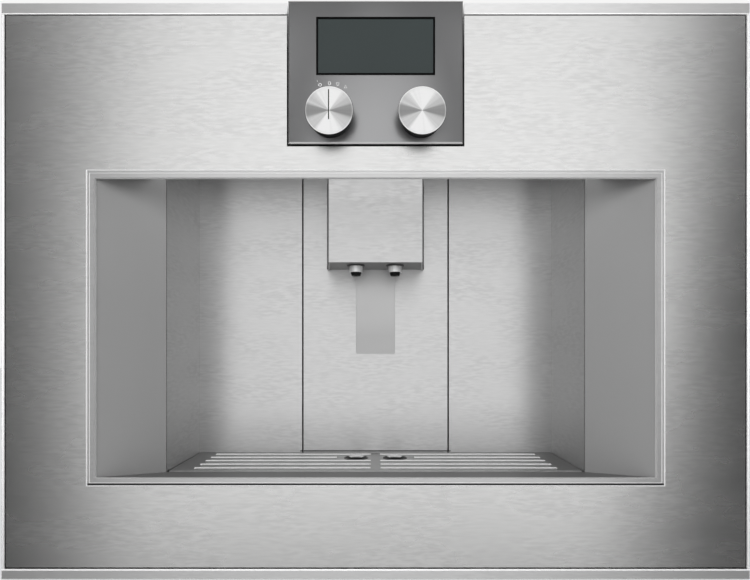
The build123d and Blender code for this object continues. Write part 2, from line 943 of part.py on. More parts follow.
def door_switch():
    """Sprung plunger that the shut door holds in."""
    x = -column_mid
    plunger = rod("y", x, door_t + plunger_clear, plunger_z, plunger_l, plunger_r)
    depth = frame_back + 1 + plunger_clear
    return plunger + rod("y", x, depth, plunger_z, plunger_collar_t, plunger_collar_r)


def grind_dial():
    """Dial that sets the fineness of the grind."""
    dial = rod("y", dial_x, pull_front, dial_z, dial_t - front_set, dial_r)
    grip = block(
        dial_x - dial_r * 0.8, dial_x + dial_r * 0.8, pull_front, pull_front + 2, dial_z + 1.5, dial_z + 8
    )
    lower = mirror(grip, about=Plane(origin=(0, 0, dial_z), z_dir=(0, 0, 1)))
    dial -= grip & rod("y", dial_x, pull_front, dial_z, 3, dial_r * 0.85)
    dial -= lower & rod("y", dial_x, pull_front, dial_z, 3, dial_r * 0.85)
    return dial + rod("y", dial_x, body_front + dial_t, dial_z, dial_shaft_l, stem_r)


def door_magnets():
    """Catch magnets let into the front frame."""
    magnets = []
    above = (hopper_z + hopper_h + lid_t + lid_room + frame_clear + body_top) / 2
    between = (drawer_z + drawer_h + hopper_z) / 2
    for z in (between, above):
        x0 = column_mid - magnet_w / 2
        z0 = z - magnet_h / 2
        d0 = body_front - magnet_proud
        magnets.append(block(x0, x0 + magnet_w, d0, frame_back, z0, z0 + magnet_h))
    return magnets


def shelf_screws():
    """(x, z) of the screws that hold the chassis to the front frame."""
    z = shelf_top - shelf_lip / 2
    offset = (column_out - column_in) / 3
    return [(side * (column_mid + way * offset), z) for side in (-1, 1) for way in (-1, 1)]


def chassis_half(side):
    """One upright inner wall of the body with the shelf of its column."""
    d1 = frame_back + chassis_d
    top = body_top - panel_t
    wall = block(wall_outer, chassis_outer, frame_back, d1, pan_top, top)
    outer = body_half - panel_t
    wall += block(chassis_outer, outer, frame_back, d1, shelf_top - chassis_t, shelf_top)
    lip_z = shelf_top - shelf_lip
    wall += block(chassis_outer, outer, frame_back, frame_back + chassis_t, lip_z, shelf_top)
    if side > 0:
        rear = pull_front + drawer_d + chassis_t
        wall += block(
            chassis_outer, drawer_x0 + drawer_w, frame_back, rear, drawer_z - chassis_t, drawer_z
        )
        wall -= rod("z", column_mid, cylinder_d, shelf_top - chassis_t - 1, chassis_t + 2, chute_r)
    else:
        wall = mirrored(wall)
        depth = tank_outlet_d()
        wall -= rod("z", -column_mid, depth, shelf_top - chassis_t - 1, chassis_t + 2, hose_r)
    for x, z in shelf_screws():
        if x * side > 0:
            wall -= rod("y", x, frame_back - 1, z, chassis_t + 2, screw_r)
    return wall


def casing_screws():
    """Every screw of the casing and the hinge flanges, as one group."""
    screws = []
    length = frame_t + chassis_t + 1
    places = list(shelf_screws())
    for z in (arm_low_z, arm_high_z):
        places += [(x, screw_z) for x in hinge_screw_x() for screw_z in hinge_screw_z(z)]
    for x, z in places:
        screw = rod("y", x, body_front, z, length, screw_r)
        screw += rod("y", x, body_front - screw_head_h, z, screw_head_h, screw_head_r)
        screws.append(screw)
    for depth, z in side_screws():
        for side in (-1, 1):
            x = body_half - screw_l / 2 if side > 0 else -body_half
            screw = rod("x", x, depth, z, screw_l / 2, screw_r)
            head_x = body_half if side > 0 else -body_half - screw_head_h
            screws.append(screw + rod("x", head_x, depth, z, screw_head_h, screw_head_r))
    return screws


def recess_wall_piece(left):
    """One folded sheet: a side of the recess and the side part of its back."""
    z1 = ceiling_top
    edge = seam_x + seam_w / 2
    wall = block(recess_half, wall_outer, body_front - recess_lip, recess_back, panel_z0, z1)
    wall += block(edge, wall_outer, recess_back, recess_back + recess_wall, panel_z0, z1)
    wall += block(edge, edge + recess_wall, recess_back, bulkhead_d, panel_z0, z1)
    return mirrored(wall) if left else wall


def recess_center():
    """Middle back panel with the slot that the outlet slides in."""
    half = seam_x - seam_w / 2
    rear = recess_back + recess_wall
    panel = block(-half, half, recess_back, rear, panel_z0, ceiling_top)
    for x in (-half, half - recess_wall):
        panel += block(x, x + recess_wall, rear, bulkhead_d, panel_z0, ceiling_top)
    slot = block(-slot_w / 2, slot_w / 2, recess_back - 1, rear + 1, slot_z, ceiling_top + 1)
    low = slot.edges().filter_by(Axis.Y).group_by(Axis.Z)[0]
    return panel - fillet(low, slot_corner)


def dispenser_guide():
    """Guide plate that closes the slot from behind."""
    half = slot_w / 2 + guide_over
    d0 = recess_back + recess_wall
    return block(-half, half, d0, d0 + guide_t, slot_z - guide_over, ceiling_top)


def recess_bulkhead():
    """Steel wall behind the recess, between the two chassis walls."""
    return block(-wall_outer, wall_outer, bulkhead_d, bulkhead_back, panel_z0, ceiling_top)


def recess_ceiling():
    """Roof of the recess, with the lights' windows and the holes of the supply pipes."""
    roof = block(-recess_half, recess_half, frame_back, recess_back, recess_top, ceiling_top)
    for light in recess_lights():
        roof -= light
    for x in (-pipe_pitch / 2, pipe_pitch / 2):
        roof -= rod("z", x, pipe_d, recess_top - 1, recess_wall + 2, pipe_r)
    return roof


def recess_lights():
    """Two light bars in the roof of the recess."""
    d0 = body_front + light_back
    lights = []
    for x in (-light_x, light_x):
        z0 = recess_top - light_t / 4
        lights.append(block(x - light_w / 2, x + light_w / 2, d0, d0 + light_d, z0, z0 + light_t))
    return lights


def supply_pipes():
    """Two steel pipes that feed the outlet and guide it, joined by a small block on top."""
    z0 = block_z + pipe_over
    top = ceiling_top + pipe_above
    length = top - z0
    pipes = None
    for x in (-pipe_pitch / 2, pipe_pitch / 2):
        pipe = rod("z", x, pipe_d, z0, length, pipe_r)
        pipes = pipe if pipes is None else pipes + pipe
    half = pipe_pitch / 2 + pipe_r + 1
    side = pipe_r + 2
    return pipes + block(-half, half, pipe_d - side, pipe_d + side, top - 1, top + manifold_h)


def head_outline(inset, front, rear):
    """(x, depth) outline of the outlet, which widens towards the back."""
    slope = (head_rear_half - head_half) / head_d
    near = head_half + (front - head_front) * slope - inset
    far = head_half + (rear - head_front) * slope - inset
    return [(-near, front), (near, front), (far, rear), (-far, rear)]


def dispenser_cover():
    """Brushed cover of the outlet, open at its back, top and bottom."""
    outer = plan_prism(head_outline(0, head_front, head_rear), head_z, head_top)
    inner = head_outline(head_wall, head_front + head_wall, head_rear + 1)
    return outer - plan_prism(inner, head_z - 1, head_top + 1)


def dispenser_body():
    """Block inside the outlet: it slides on the pipes and carries the nozzles."""
    front = head_front + head_wall + head_gap
    outline = head_outline(head_wall + head_gap, front, head_rear)
    body = plan_prism(outline, block_z, block_top)
    shoe = slot_w / 2 - head_gap
    low = block_z + shoe_end
    body += block(-shoe, shoe, head_rear, recess_back + shoe_t, low, block_top - shoe_end)
    pocket = head_half * 0.75
    margin = shoe_end + head_rise
    deep = (pipe_d - front) / 2
    body -= block(-pocket, pocket, front - 1, front + deep, block_z + margin, block_top - margin)
    for x in (-pipe_pitch / 2, pipe_pitch / 2):
        bore_z = block_z + pipe_over - 1
        body -= rod("z", x, pipe_d, bore_z, head_h, pipe_r + running_gap)
    for x in (-nozzle_pitch / 2, nozzle_pitch / 2):
        body -= rod("z", x, nozzle_d, block_z - 1, pipe_over, tip_bore_r)
    return body


def nozzle_collars():
    """Bright sleeves that hold the two nozzles, each with a flange under the block."""
    collars = []
    for x in (-nozzle_pitch / 2, nozzle_pitch / 2):
        ring = rod("z", x, nozzle_d, block_z - collar_h, collar_h, collar_r)
        low = ring.edges().group_by(Axis.Z)[0]
        ring = chamfer(low, collar_edge)
        ring += rod("z", x, nozzle_d, block_z - nozzle_flange_t, nozzle_flange_t, nozzle_flange_r)
        collars.append(ring - rod("z", x, nozzle_d, block_z - collar_h - 1, collar_h + 2, tip_r))
    return collars


def nozzle_tips():
    """Black tips of the two nozzles."""
    tips = []
    for x in (-nozzle_pitch / 2, nozzle_pitch / 2):
        z0 = block_z - collar_h - tip_drop
        tip = cone(x, nozzle_d, z0, tip_drop, tip_r * 0.8, tip_r)
        tip += rod("z", x, nozzle_d, z0 + tip_drop, collar_h, tip_r)
        tips.append(tip - rod("z", x, nozzle_d, z0 - 1, tip_drop + collar_h + 2, tip_bore_r))
    return tips


def rib_rows():
    """(left end, right end, depth of the front edge) of each raised rib of the grate."""
    outer = recess_half - rib_side_gap
    rows = []
    for row in range(rib_count):
        depth = recess_back - rib_rear - row * rib_pitch
        inner = rib_mid_gap
        if abs(depth + rib_w / 2 - nozzle_d) < drain_r:
            inner = nozzle_pitch / 2 + drain_clear
        rows += [(-outer, -inner, depth), (inner, outer, depth)]
    return rows


def drip_grate():
    """Lift-out grate with raised ribs, drain slits behind them and two dished drains."""
    half = recess_half - grate_gap
    front = frame_back + grate_gap
    plate = block(-half, half, front, recess_back - grate_gap, tray_top, grate_z)
    for x0, x1, depth in rib_rows():
        plate += block(x0, x1, depth, depth + rib_w, grate_z, grate_z + rib_h)
        slit = depth + rib_w
        plate -= block(x0, x1, slit, slit + slit_w, tray_top - 1, grate_z + 1)
    z0 = grate_z - drain_depth
    for x in (-nozzle_pitch / 2, nozzle_pitch / 2):
        plate += cone(
            x, nozzle_d, z0, drain_depth, drain_hole_r + drain_wall, drain_r + drain_wall
        )
        plate -= cone(x, nozzle_d, z0, drain_depth, drain_hole_r, drain_r)
    return plate


def drip_tray():
    """Drip tray with the post that its float rides on."""
    half = recess_half - grate_gap * 2
    tray = bin_shell(
        -half, half, pull_front, pull_front + tray_d, tray_z0, tray_top, tray_wall, tank_corner
    )
    floor = tray_z0 + tray_wall
    return tray + rod("z", float_x, body_front + float_back, floor, post_h, post_r)


def tray_float():
    """Red float that rises when the tray is full."""
    z0 = tray_z0 + tray_wall + head_gap
    disc = rod("z", float_x, body_front + float_back, z0, float_h, float_r)
    bore = rod("z", float_x, body_front + float_back, z0 - 1, float_h + 2, post_r + running_gap)
    return disc - bore


def grounds_container():
    """Bin for the used grounds."""
    rear = pull_front + grounds_d
    z1 = tray_z0 + grounds_h
    return bin_shell(
        column_in, column_out, pull_front, rear, tray_z0, z1, bin_wall, tank_corner
    )


def tank_outlet_d():
    """Depth of the water tank's outlet."""
    return pull_front + tank_d * 0.85


def water_tank():
    """Pull-out water tank with a grip pocket in its front."""
    x0 = -column_out
    x1 = -column_in
    tank = bin_shell(
        x0, x1, pull_front, pull_front + tank_d, shelf_top, tank_top, tank_wall, tank_corner
    )
    half = grip_w / 2
    z1 = tank_top - grip_drop
    z0 = z1 - grip_h
    wall = tank_wall
    tank += block(
        -column_mid - half - wall,
        -column_mid + half + wall,
        pull_front + wall / 2,
        pull_front + grip_d + wall,
        z0 - wall,
        z1 + wall,
    )
    tank -= block(
        -column_mid - half, -column_mid + half, pull_front - 1, pull_front + grip_d, z0, z1
    )
    bottom = shelf_top - 1
    return tank - rod("z", -column_mid, tank_outlet_d(), bottom, tank_wall + 2, hose_r)


def container_lid(x0, x1, depth, z, wall):
    """A flat lid behind the container's front wall, with a rim inside it."""
    lid = block(x0, x1, pull_front + wall, pull_front + depth, z, z + lid_t)
    lid = fillet(lid.edges().filter_by(Axis.Z), tank_corner)
    gap = wall + head_gap
    inset = gap + bin_wall
    d0 = pull_front
    d1 = pull_front + depth
    rim = block(x0 + gap, x1 - gap, d0 + gap, d1 - gap, z - lid_rim, z)
    rim = fillet(rim.edges().filter_by(Axis.Z), tank_corner - wall / 2)
    return lid + (rim - block(x0 + inset, x1 - inset, d0 + inset, d1 - inset, z - lid_rim - 1, z))


def tank_lid():
    lid = container_lid(-column_out, -column_in, tank_d, tank_top, tank_wall)
    middle = pull_front + tank_d / 2
    return lid - rod("z", -column_mid, middle, tank_top - 1, lid_t + 2, fill_r)


def bean_hopper():
    """Bean container over the grinder, with its outlet in the floor."""
    rear = pull_front + hopper_d
    z1 = hopper_z + hopper_h
    hopper = bin_shell(
        column_in, column_out, pull_front, rear, hopper_z, z1, tank_wall, tank_corner
    )
    hole = rod("z", column_mid, grinder_d, hopper_z - 1, tank_wall + 2, hopper_hole_r)
    return hopper - hole


def hopper_lid():
    return container_lid(column_in, column_out, hopper_d, hopper_z + hopper_h, tank_wall)


def powder_drawer():
    """Small drawer for ground coffee."""
    z1 = drawer_z + drawer_h
    x1 = drawer_x0 + drawer_w
    return bin_shell(
        drawer_x0, x1, pull_front, pull_front + drawer_d, drawer_z, z1, bin_wall, tank_corner / 2
    )


def grinder_housing():
    """Grinder chamber, motor can, chute to the brew unit and the bracket that carries them."""
    x = column_mid
    body = rod("z", x, grinder_d, grinder_z, grinder_h, grinder_r)
    body += rod("z", x, grinder_d, motor_z, motor_h, motor_r)
    bracket_z = hopper_z - bracket_h
    d0 = grinder_d - bracket_d / 2
    body += block(chassis_outer, x, d0, d0 + bracket_d, bracket_z, hopper_z)
    chute_d0 = grinder_d - grinder_r - chute_d + 2
    half = chute_w / 2
    z0 = grinder_z - chute_h / 2
    body += block(x - half, x + half, chute_d0, grinder_d - motor_r + 2, z0, z0 + chute_h)
    body -= rod("z", x, chute_d0 + chute_d / 2, z0 - 1, chute_h + 2, chute_r)
    body -= rod("z", x, grinder_d, chamber_z, chamber_h, chamber_r)
    body -= rod("z", x, grinder_d, chamber_top - 1, chamber_drop + 2, hopper_hole_r)
    bore_z = chamber_z - burr_shaft_l - 1
    return body - rod("z", x, grinder_d, bore_z, burr_shaft_l + 2, burr_shaft_r + running_gap)


def grinder_burr():
    """Turning burr on its motor shaft."""
    x = column_mid
    z0 = chamber_z + burr_lift
    burr = rod("z", x, grinder_d, z0, burr_h, burr_r)
    burr += cone(x, grinder_d, z0 + burr_h, cone_h, cone_r, cone_top_r)
    return burr + rod("z", x, grinder_d, z0 - burr_shaft_l, burr_shaft_l, burr_shaft_r)


def brew_housing():
    """Brew unit's body: the cylinder above, the drive below."""
    x = column_mid
    half = brew_w / 2
    body = block(x - half, x + half, brew_front, brew_rear, shelf_top, brew_top)
    body = fillet(body.edges().filter_by(Axis.Z), tank_corner)
    body -= rod("z", x, cylinder_d, brew_floor, brew_h, cylinder_r)
    half = cavity_w / 2
    body -= block(x - half, x + half, cylinder_d - half, cylinder_d + half, cavity_floor, brew_floor)
    foot = cavity_floor - spindle_foot
    body -= rod("z", x, cylinder_d, foot, spindle_foot + 1, spindle_r + running_gap)
    pin_z = shelf_top + lever_z
    bore_l = lever_pin_l + 1
    return body - rod("y", x, brew_front - 1, pin_z, bore_l + 1, lever_pin_r + running_gap)


def brew_spindle():
    """Lead screw with its drive gear."""
    x = column_mid
    z0 = cavity_floor - spindle_foot + running_gap
    top = piston_foot - 4
    shaft = rod("z", x, cylinder_d, z0, top - z0, spindle_r)
    gear_z = cavity_floor + spindle_gear_z
    return shaft + gear_disc(x, cylinder_d, gear_z)


def gear_disc(x, depth, z):
    """Drive gear with straight teeth."""
    disc = rod("z", x, depth, z, spindle_gear_h, spindle_gear_r)
    teeth = 16
    for tooth in range(teeth):
        angle = radians(tooth * 360 / teeth)
        cx = x + spindle_gear_r * cos(angle)
        cd = depth + spindle_gear_r * sin(angle)
        disc -= rod("z", cx, cd, z - 1, spindle_gear_h + 2, spindle_gear_r * pi / teeth / 2)
    return disc


def brew_piston():
    """Piston with the nut stem that the lead screw drives up."""
    x = column_mid
    piston = rod("z", x, cylinder_d, piston_foot, piston_h, cylinder_r - running_gap)
    piston += rod("z", x, cylinder_d, piston_bottom, stem_drop, stem_outer_r)
    bore = stem_drop - piston_skin
    return piston - rod("z", x, cylinder_d, piston_bottom - 1, bore + 1, spindle_r + running_gap)


def brew_lever():
    """Lever that locks the brew unit, on the front of it."""
    z = shelf_top + lever_z
    d0 = brew_front - lever_hub_t - head_gap
    lever = rod("y", column_mid, d0, z, lever_hub_t, lever_r)
    half = lever_w / 2
    arm = block(column_mid - half, column_mid + half, d0, d0 + lever_t, z - lever_l, z)
    tip = arm.edges().filter_by(Axis.Y).group_by(Axis.Z)[0]
    lever += fillet(tip, half * 0.9)
    return lever + rod("y", column_mid, brew_front - head_gap, z, lever_pin_l, lever_pin_r)


def heater():
    """Through-flow heater on the back of the bulkhead."""
    half = heater_w / 2
    d1 = bulkhead_back + heater_d
    body = block(-half, half, bulkhead_back, d1, heater_z, heater_z + heater_h)
    return fillet(body.edges().filter_by(Axis.X), tank_corner)


def pump():
    """Pump on the floor of the left column."""
    d0 = body_front + pump_back
    z = pan_top + pump_r + 2
    body = rod("y", -column_mid, d0, z, pump_l, pump_r)
    half = pump_foot_w / 2
    return body + block(-column_mid - half, -column_mid + half, d0 + 4, d0 + pump_l - 4, pan_top, z)


def power_board():
    """Power board and transformer on the left chassis wall."""
    d0 = bulkhead_back + power_back
    x0 = -wall_outer
    board = block(x0, x0 + board_t, d0, d0 + power_d, power_z, power_z + power_h)
    x1 = x0 + board_t + transformer_w
    z0 = power_z + power_h / 4
    mid = d0 + power_d / 2
    half = transformer_d / 2
    return board + block(x0 + board_t, x1, mid - half, mid + half, z0, z0 + transformer_h)


def hose(points, bend):
    """A round hose along straight runs and tangent bends through (x, depth, z) points."""
    places = [Vector(x, front_y + depth, z) for x, depth, z in points]
    path = FilletPolyline(*places, radius=bend)
    start = Plane(origin=places[0], z_dir=places[1] - places[0])
    return sweep(start * Circle(hose_r), path=path)


def water_hoses():
    """Hoses from the tank to the pump, heater, brew unit and outlet."""
    x = column_mid
    outlet = tank_outlet_d()
    pump_end = body_front + pump_back + pump_l
    pump_mid = pan_top + pump_r + 2
    back = frame_back + chassis_d + (body_d - chassis_d) / 3
    heater_mid = heater_z + heater_h / 2
    heater_in = bulkhead_back + heater_d / 2
    side = heater_w / 2
    clear = side + 45
    bend = hose_r * 4
    low = pump_mid - pump_r / 2
    high = pump_mid + pump_r / 2
    port_z = shelf_top + brew_h / 2
    drop_z = shelf_top + brew_h / 4
    top = ceiling_top + pipe_above + manifold_h
    feed = top + bend * 2
    near = back - bend
    return [
        hose([(-x, outlet, shelf_top), (-x, outlet, high), (-x, pump_end, high)], bend),
        hose(
            [
                (-x, pump_end, low),
                (-x, back, low),
                (-clear, back, low),
                (-clear, back, heater_mid),
                (-clear, heater_in, heater_mid),
                (-side, heater_in, heater_mid),
            ],
            bend,
        ),
        hose(
            [
                (side, heater_in, heater_mid),
                (clear, heater_in, heater_mid),
                (clear, back, heater_mid),
                (x, back, heater_mid),
                (x, back, port_z),
                (x, brew_rear, port_z),
            ],
            bend,
        ),
        hose(
            [
                (x + bend, brew_rear, drop_z),
                (x + bend, near, drop_z),
                (x + bend, near, feed),
                (0, near, feed),
                (0, pipe_d, feed),
                (0, pipe_d, top),
            ],
            bend,
        ),
    ]


def mains_inlet():
    """Recessed mains inlet with three blades."""
    half = inlet_w / 2
    z0 = inlet_z - inlet_h / 2
    d0 = body_rear - inlet_d
    body = block(inlet_x - half, inlet_x + half, d0, body_rear, z0, z0 + inlet_h)
    wall = inlet_wall
    floor = d0 + inlet_floor
    body -= block(
        inlet_x - half + wall,
        inlet_x + half - wall,
        floor,
        body_rear + 1,
        z0 + wall,
        z0 + inlet_h - wall,
    )
    for x, z in ((-inlet_w / 4, -1), (0, 2), (inlet_w / 4, -1)):
        cx = inlet_x + x
        cz = inlet_z + z
        body += block(
            cx - blade_w / 2, cx + blade_w / 2, floor, floor + blade_l, cz - blade_h / 2, cz + blade_h / 2
        )
    return body


def pieces():
    """Every node of the machine and its solids."""
    return {
        "door_sheet": door_sheet(),
        "door_bezel": door_bezel(),
        "door_liner": door_liner(),
        "door_carrier": door_carrier(),
        "door_sides": [door_side(True), door_side(False)],
        "door_rails": door_rails(),
        "door_hinge_blocks": hinge_blocks(),
        "hinge_brackets": hinge_brackets(),
        "hinge_pins": hinge_pins(),
        "door_magnets": door_magnets(),
        "module_fascia": module_fascia(),
        "module_housing": module_housing(),
        "display_frame": display_frame(),
        "display_glass": display_glass(),
        "control_board": control_board(),
        "knob_encoders": knob_encoders(),
        "mode_knob": knob(-knob_x),
        "selector_knob": knob(knob_x),
        "feet": feet(),
        "base_pan": base_pan(),
        "side_panels": [side_panel(-1), side_panel(1)],
        "rear_panel": rear_panel(),
        "top_cover": top_cover(),
        "front_frame": front_frame(),
        "chassis_walls": [chassis_half(-1), chassis_half(1)],
        "casing_screws": casing_screws(),
        "recess_walls": [recess_wall_piece(True), recess_wall_piece(False)],
        "recess_center_panel": recess_center(),
        "recess_bulkhead": recess_bulkhead(),
        "recess_ceiling": recess_ceiling(),
        "recess_lights": recess_lights(),
        "dispenser_guide": dispenser_guide(),
        "supply_pipes": supply_pipes(),
        "dispenser_body": dispenser_body(),
        "dispenser_cover": dispenser_cover(),
        "nozzle_collars": nozzle_collars(),
        "nozzle_tips": nozzle_tips(),
        "drip_grate": drip_grate(),
        "drip_tray": drip_tray(),
        "tray_float": tray_float(),
        "grounds_container": grounds_container(),
        "water_tank": water_tank(),
        "tank_lid": tank_lid(),
        "bean_hopper": bean_hopper(),
        "hopper_lid": hopper_lid(),
        "powder_drawer": powder_drawer(),
        "grinder_housing": grinder_housing(),
        "grinder_burr": grinder_burr(),
        "grind_dial": grind_dial(),
        "brew_unit_housing": brew_housing(),
        "brew_piston": brew_piston(),
        "brew_spindle": brew_spindle(),
        "brew_lever": brew_lever(),
        "heater": heater(),
        "pump": pump(),
        "power_board": power_board(),
        "water_hoses": water_hoses(),
        "mains_inlet": mains_inlet(),
        "mains_rocker": mains_rocker(),
        "door_switch": door_switch(),
    }


def save(name, shapes):
    """Writes one node's solids to its own file."""
    if not isinstance(shapes, (list, tuple)):
        shapes = [shapes]
    solids = [solid for shape in shapes for solid in shape.solids()]
    whole = solids[0] if len(solids) == 1 else Compound(children=solids)
    export_step(whole, os.path.join("parts", name + ".step"))


os.makedirs("parts", exist_ok=True)
for node, shapes in pieces().items():
    save(node, shapes)
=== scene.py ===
"""Built-in coffee machine: finishes, printed marks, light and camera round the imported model."""

import json
from math import cos, pi, radians, sin

import bmesh
import bpy
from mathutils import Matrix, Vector


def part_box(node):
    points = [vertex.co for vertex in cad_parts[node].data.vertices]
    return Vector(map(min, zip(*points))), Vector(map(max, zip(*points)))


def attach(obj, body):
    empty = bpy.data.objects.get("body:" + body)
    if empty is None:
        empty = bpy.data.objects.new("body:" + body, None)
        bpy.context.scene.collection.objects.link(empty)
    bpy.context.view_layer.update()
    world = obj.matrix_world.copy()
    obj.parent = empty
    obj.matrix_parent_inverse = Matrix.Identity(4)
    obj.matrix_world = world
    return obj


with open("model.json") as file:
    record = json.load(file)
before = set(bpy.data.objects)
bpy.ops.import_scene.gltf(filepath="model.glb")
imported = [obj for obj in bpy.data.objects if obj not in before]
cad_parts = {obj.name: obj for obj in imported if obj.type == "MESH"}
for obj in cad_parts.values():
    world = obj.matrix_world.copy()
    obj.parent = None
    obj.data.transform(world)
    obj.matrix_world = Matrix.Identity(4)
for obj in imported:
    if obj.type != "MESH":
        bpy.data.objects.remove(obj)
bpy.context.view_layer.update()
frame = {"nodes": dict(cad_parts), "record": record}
nodes = frame["nodes"]

MM = 0.001
X, Y, Z = range(3)
SIDES = ((-1, "left"), (1, "right"))

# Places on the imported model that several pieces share
FACE_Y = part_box("door_sheet")[0].y
BEZEL_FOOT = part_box("door_bezel")[0].z
LINER_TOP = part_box("door_bezel")[1].z - 5.3 * MM
BAR_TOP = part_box("drip_grate")[1].z
PLATE_TOP = BAR_TOP - 1.0 * MM
COLLAR_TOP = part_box("nozzle_collars")[1].z

# Camera: a wide lens close to the door, level, with its horizon below the picture's middle.
# Its focal length and its shift are in pixels of the picture.
PICTURE_PX = 750.0
FOCAL_PX = 511.0
SHIFT_PX = 64.0
SENSOR_MM = 36.0
CAMERA_X = -0.5 * MM
CAMERA_Z = 178.4 * MM
CAMERA_AWAY = 402.0 * MM
CLIP_NEAR = 0.01


def add_object(name, data):
    """A new object in the scene."""
    thing = bpy.data.objects.new(name, data)
    bpy.context.scene.collection.objects.link(thing)
    return thing


def add_camera():
    data = bpy.data.cameras.new("camera")
    data.sensor_width = SENSOR_MM
    data.lens = FOCAL_PX / PICTURE_PX * SENSOR_MM
    data.shift_y = SHIFT_PX / PICTURE_PX
    data.clip_start = CLIP_NEAR
    camera = add_object("camera", data)
    camera.location = (CAMERA_X, FACE_Y - CAMERA_AWAY, CAMERA_Z)
    camera.rotation_euler = (radians(90), 0, 0)
    bpy.context.scene.camera = camera


def knob_face(node):
    """Middle (x, z), front and radius of a knob's face."""
    low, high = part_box(node)
    return (low.x + high.x) / 2, (low.z + high.z) / 2, low.y, (high.x - low.x) / 2


def grey(level):
    return (level, level, level)


def operate(tree, kind, operation, a, b=None):
    """A Math or VectorMath node; a and b are plain values or other nodes' outputs."""
    node = tree.nodes.new("ShaderNode" + kind)
    node.operation = operation
    for socket, value in zip(node.inputs, (a, b)):
        if value is None:
            continue
        if isinstance(value, (int, float, tuple)):
            socket.default_value = value
        else:
            tree.links.new(value, socket)
    return node


def ramp(tree, value, stops):
    """Greys between stops of (place, level)."""
    node = tree.nodes.new("ShaderNodeValToRGB")
    elements = node.color_ramp.elements
    while len(elements) < len(stops):
        elements.new(0.5)
    for element, (place, level) in zip(elements, stops):
        element.position = place
        element.color = (*grey(level), 1)
    tree.links.new(value, node.inputs["Fac"])
    return node.outputs["Color"]


class Finish:
    """A node material and short ways to add to it."""

    def __init__(self, name, color, roughness, metallic=0.0):
        self.material = bpy.data.materials.new(name)
        self.material.use_nodes = True
        self.tree = self.material.node_tree
        self.shader = self.tree.nodes["Principled BSDF"]
        self.set("Base Color", (*color, 1.0))
        self.set("Roughness", roughness)
        self.set("Metallic", metallic)

    def set(self, socket, value):
        self.shader.inputs[socket].default_value = value

    def drive(self, socket, output):
        """Lets another node's output set one of the shader's sockets."""
        self.link(output, self.shader.inputs[socket])

    def add(self, kind, **settings):
        node = self.tree.nodes.new("ShaderNode" + kind)
        for key, value in settings.items():
            setattr(node, key, value)
        return node

    def link(self, output, target):
        self.tree.links.new(output, target)

    def math(self, operation, a, b=None):
        return operate(self.tree, "Math", operation, a, b).outputs[0]

    def vector_math(self, operation, a, b=None):
        return operate(self.tree, "VectorMath", operation, a, b).outputs[0]

    def measure(self, operation, a, b=None):
        """A vector operation whose result is a number."""
        return operate(self.tree, "VectorMath", operation, a, b).outputs["Value"]

    def place(self):
        """Position in the piece's own frame, which goes with the piece when it moves."""
        return self.add("TexCoord").outputs["Object"]

    def split(self, vector, index):
        parts = self.add("SeparateXYZ")
        self.link(vector, parts.inputs[0])
        return parts.outputs[index]

    def axis(self, index):
        """One coordinate of the place."""
        return self.split(self.place(), index)

    def across(self, index):
        """Distance from the middle plane along one axis."""
        return self.math("ABSOLUTE", self.axis(index))

    def facing(self, index):
        """How squarely the surface looks along an axis of the piece, from 0 to 1."""
        turn = self.add("VectorTransform", vector_type="NORMAL")
        turn.convert_from = "WORLD"
        turn.convert_to = "OBJECT"
        self.link(self.add("NewGeometry").outputs["Normal"], turn.inputs[0])
        return self.math("ABSOLUTE", self.split(turn.outputs[0], index))

    def noise(self, waves, detail=3.0, roughness=0.5):
        """Noise with its own number of waves per metre along each axis."""
        stretched = self.vector_math("MULTIPLY", self.place(), tuple(waves))
        node = self.add("TexNoise")
        node.inputs["Scale"].default_value = 1.0
        node.inputs["Detail"].default_value = detail
        node.inputs["Roughness"].default_value = roughness
        self.link(stretched, node.inputs["Vector"])
        return node.outputs["Fac"]

    def even_noise(self, waves, detail=3.0):
        return self.noise((waves, waves, waves), detail)

    def spread(self, value, low, high, from_low=0.3, from_high=0.7):
        """Stretches a value over another range; 0.3 to 0.7 is what noise mostly covers."""
        node = self.add("MapRange")
        self.link(value, node.inputs["Value"])
        node.inputs["From Min"].default_value = from_low
        node.inputs["From Max"].default_value = from_high
        node.inputs["To Min"].default_value = low
        node.inputs["To Max"].default_value = high
        return node.outputs["Result"]

    def swing(self, value, middle, amount, *source):
        """Stretches a value to an even swing about a middle."""
        return self.spread(value, middle - amount, middle + amount, *source)

    def tint(self, factor):
        """Base colour times a factor that varies over the surface."""
        node = self.add("VectorMath", operation="SCALE")
        node.inputs[0].default_value = tuple(self.shader.inputs["Base Color"].default_value)[:3]
        self.link(factor, node.inputs["Scale"])
        self.drive("Base Color", node.outputs[0])

    def inlay(self, mask, color):
        """Another base colour where the mask is 1."""
        base = self.shader.inputs["Base Color"]
        mix = self.add("Mix", data_type="RGBA")
        self.link(mask, mix.inputs["Factor"])
        if base.links:
            self.link(base.links[0].from_socket, mix.inputs["A"])
        else:
            mix.inputs["A"].default_value = base.default_value
        mix.inputs["B"].default_value = (*color, 1.0)
        self.link(mix.outputs["Result"], base)
        return self

    def bump(self, height, distance):
        node = self.add("Bump")
        node.inputs["Strength"].default_value = 1.0
        node.inputs["Distance"].default_value = distance
        self.link(height, node.inputs["Height"])
        self.drive("Normal", node.outputs["Normal"])

    def tangent(self, vector):
        """The direction, in the piece's own axes, along which the gloss spreads."""
        node = self.add("VectorTransform", vector_type="VECTOR")
        node.convert_from = "OBJECT"
        node.convert_to = "WORLD"
        if isinstance(vector, tuple):
            node.inputs[0].default_value = vector
        else:
            self.link(vector, node.inputs[0])
        self.drive("Tangent", node.outputs[0])


# Brushing runs across the machine, so its gloss spreads up and down
GLOSS_UPWARD = (0.0, 0.05, 1.0)
# How far faint clouds change the colour and the roughness of a clean surface
FAINT = 0.015
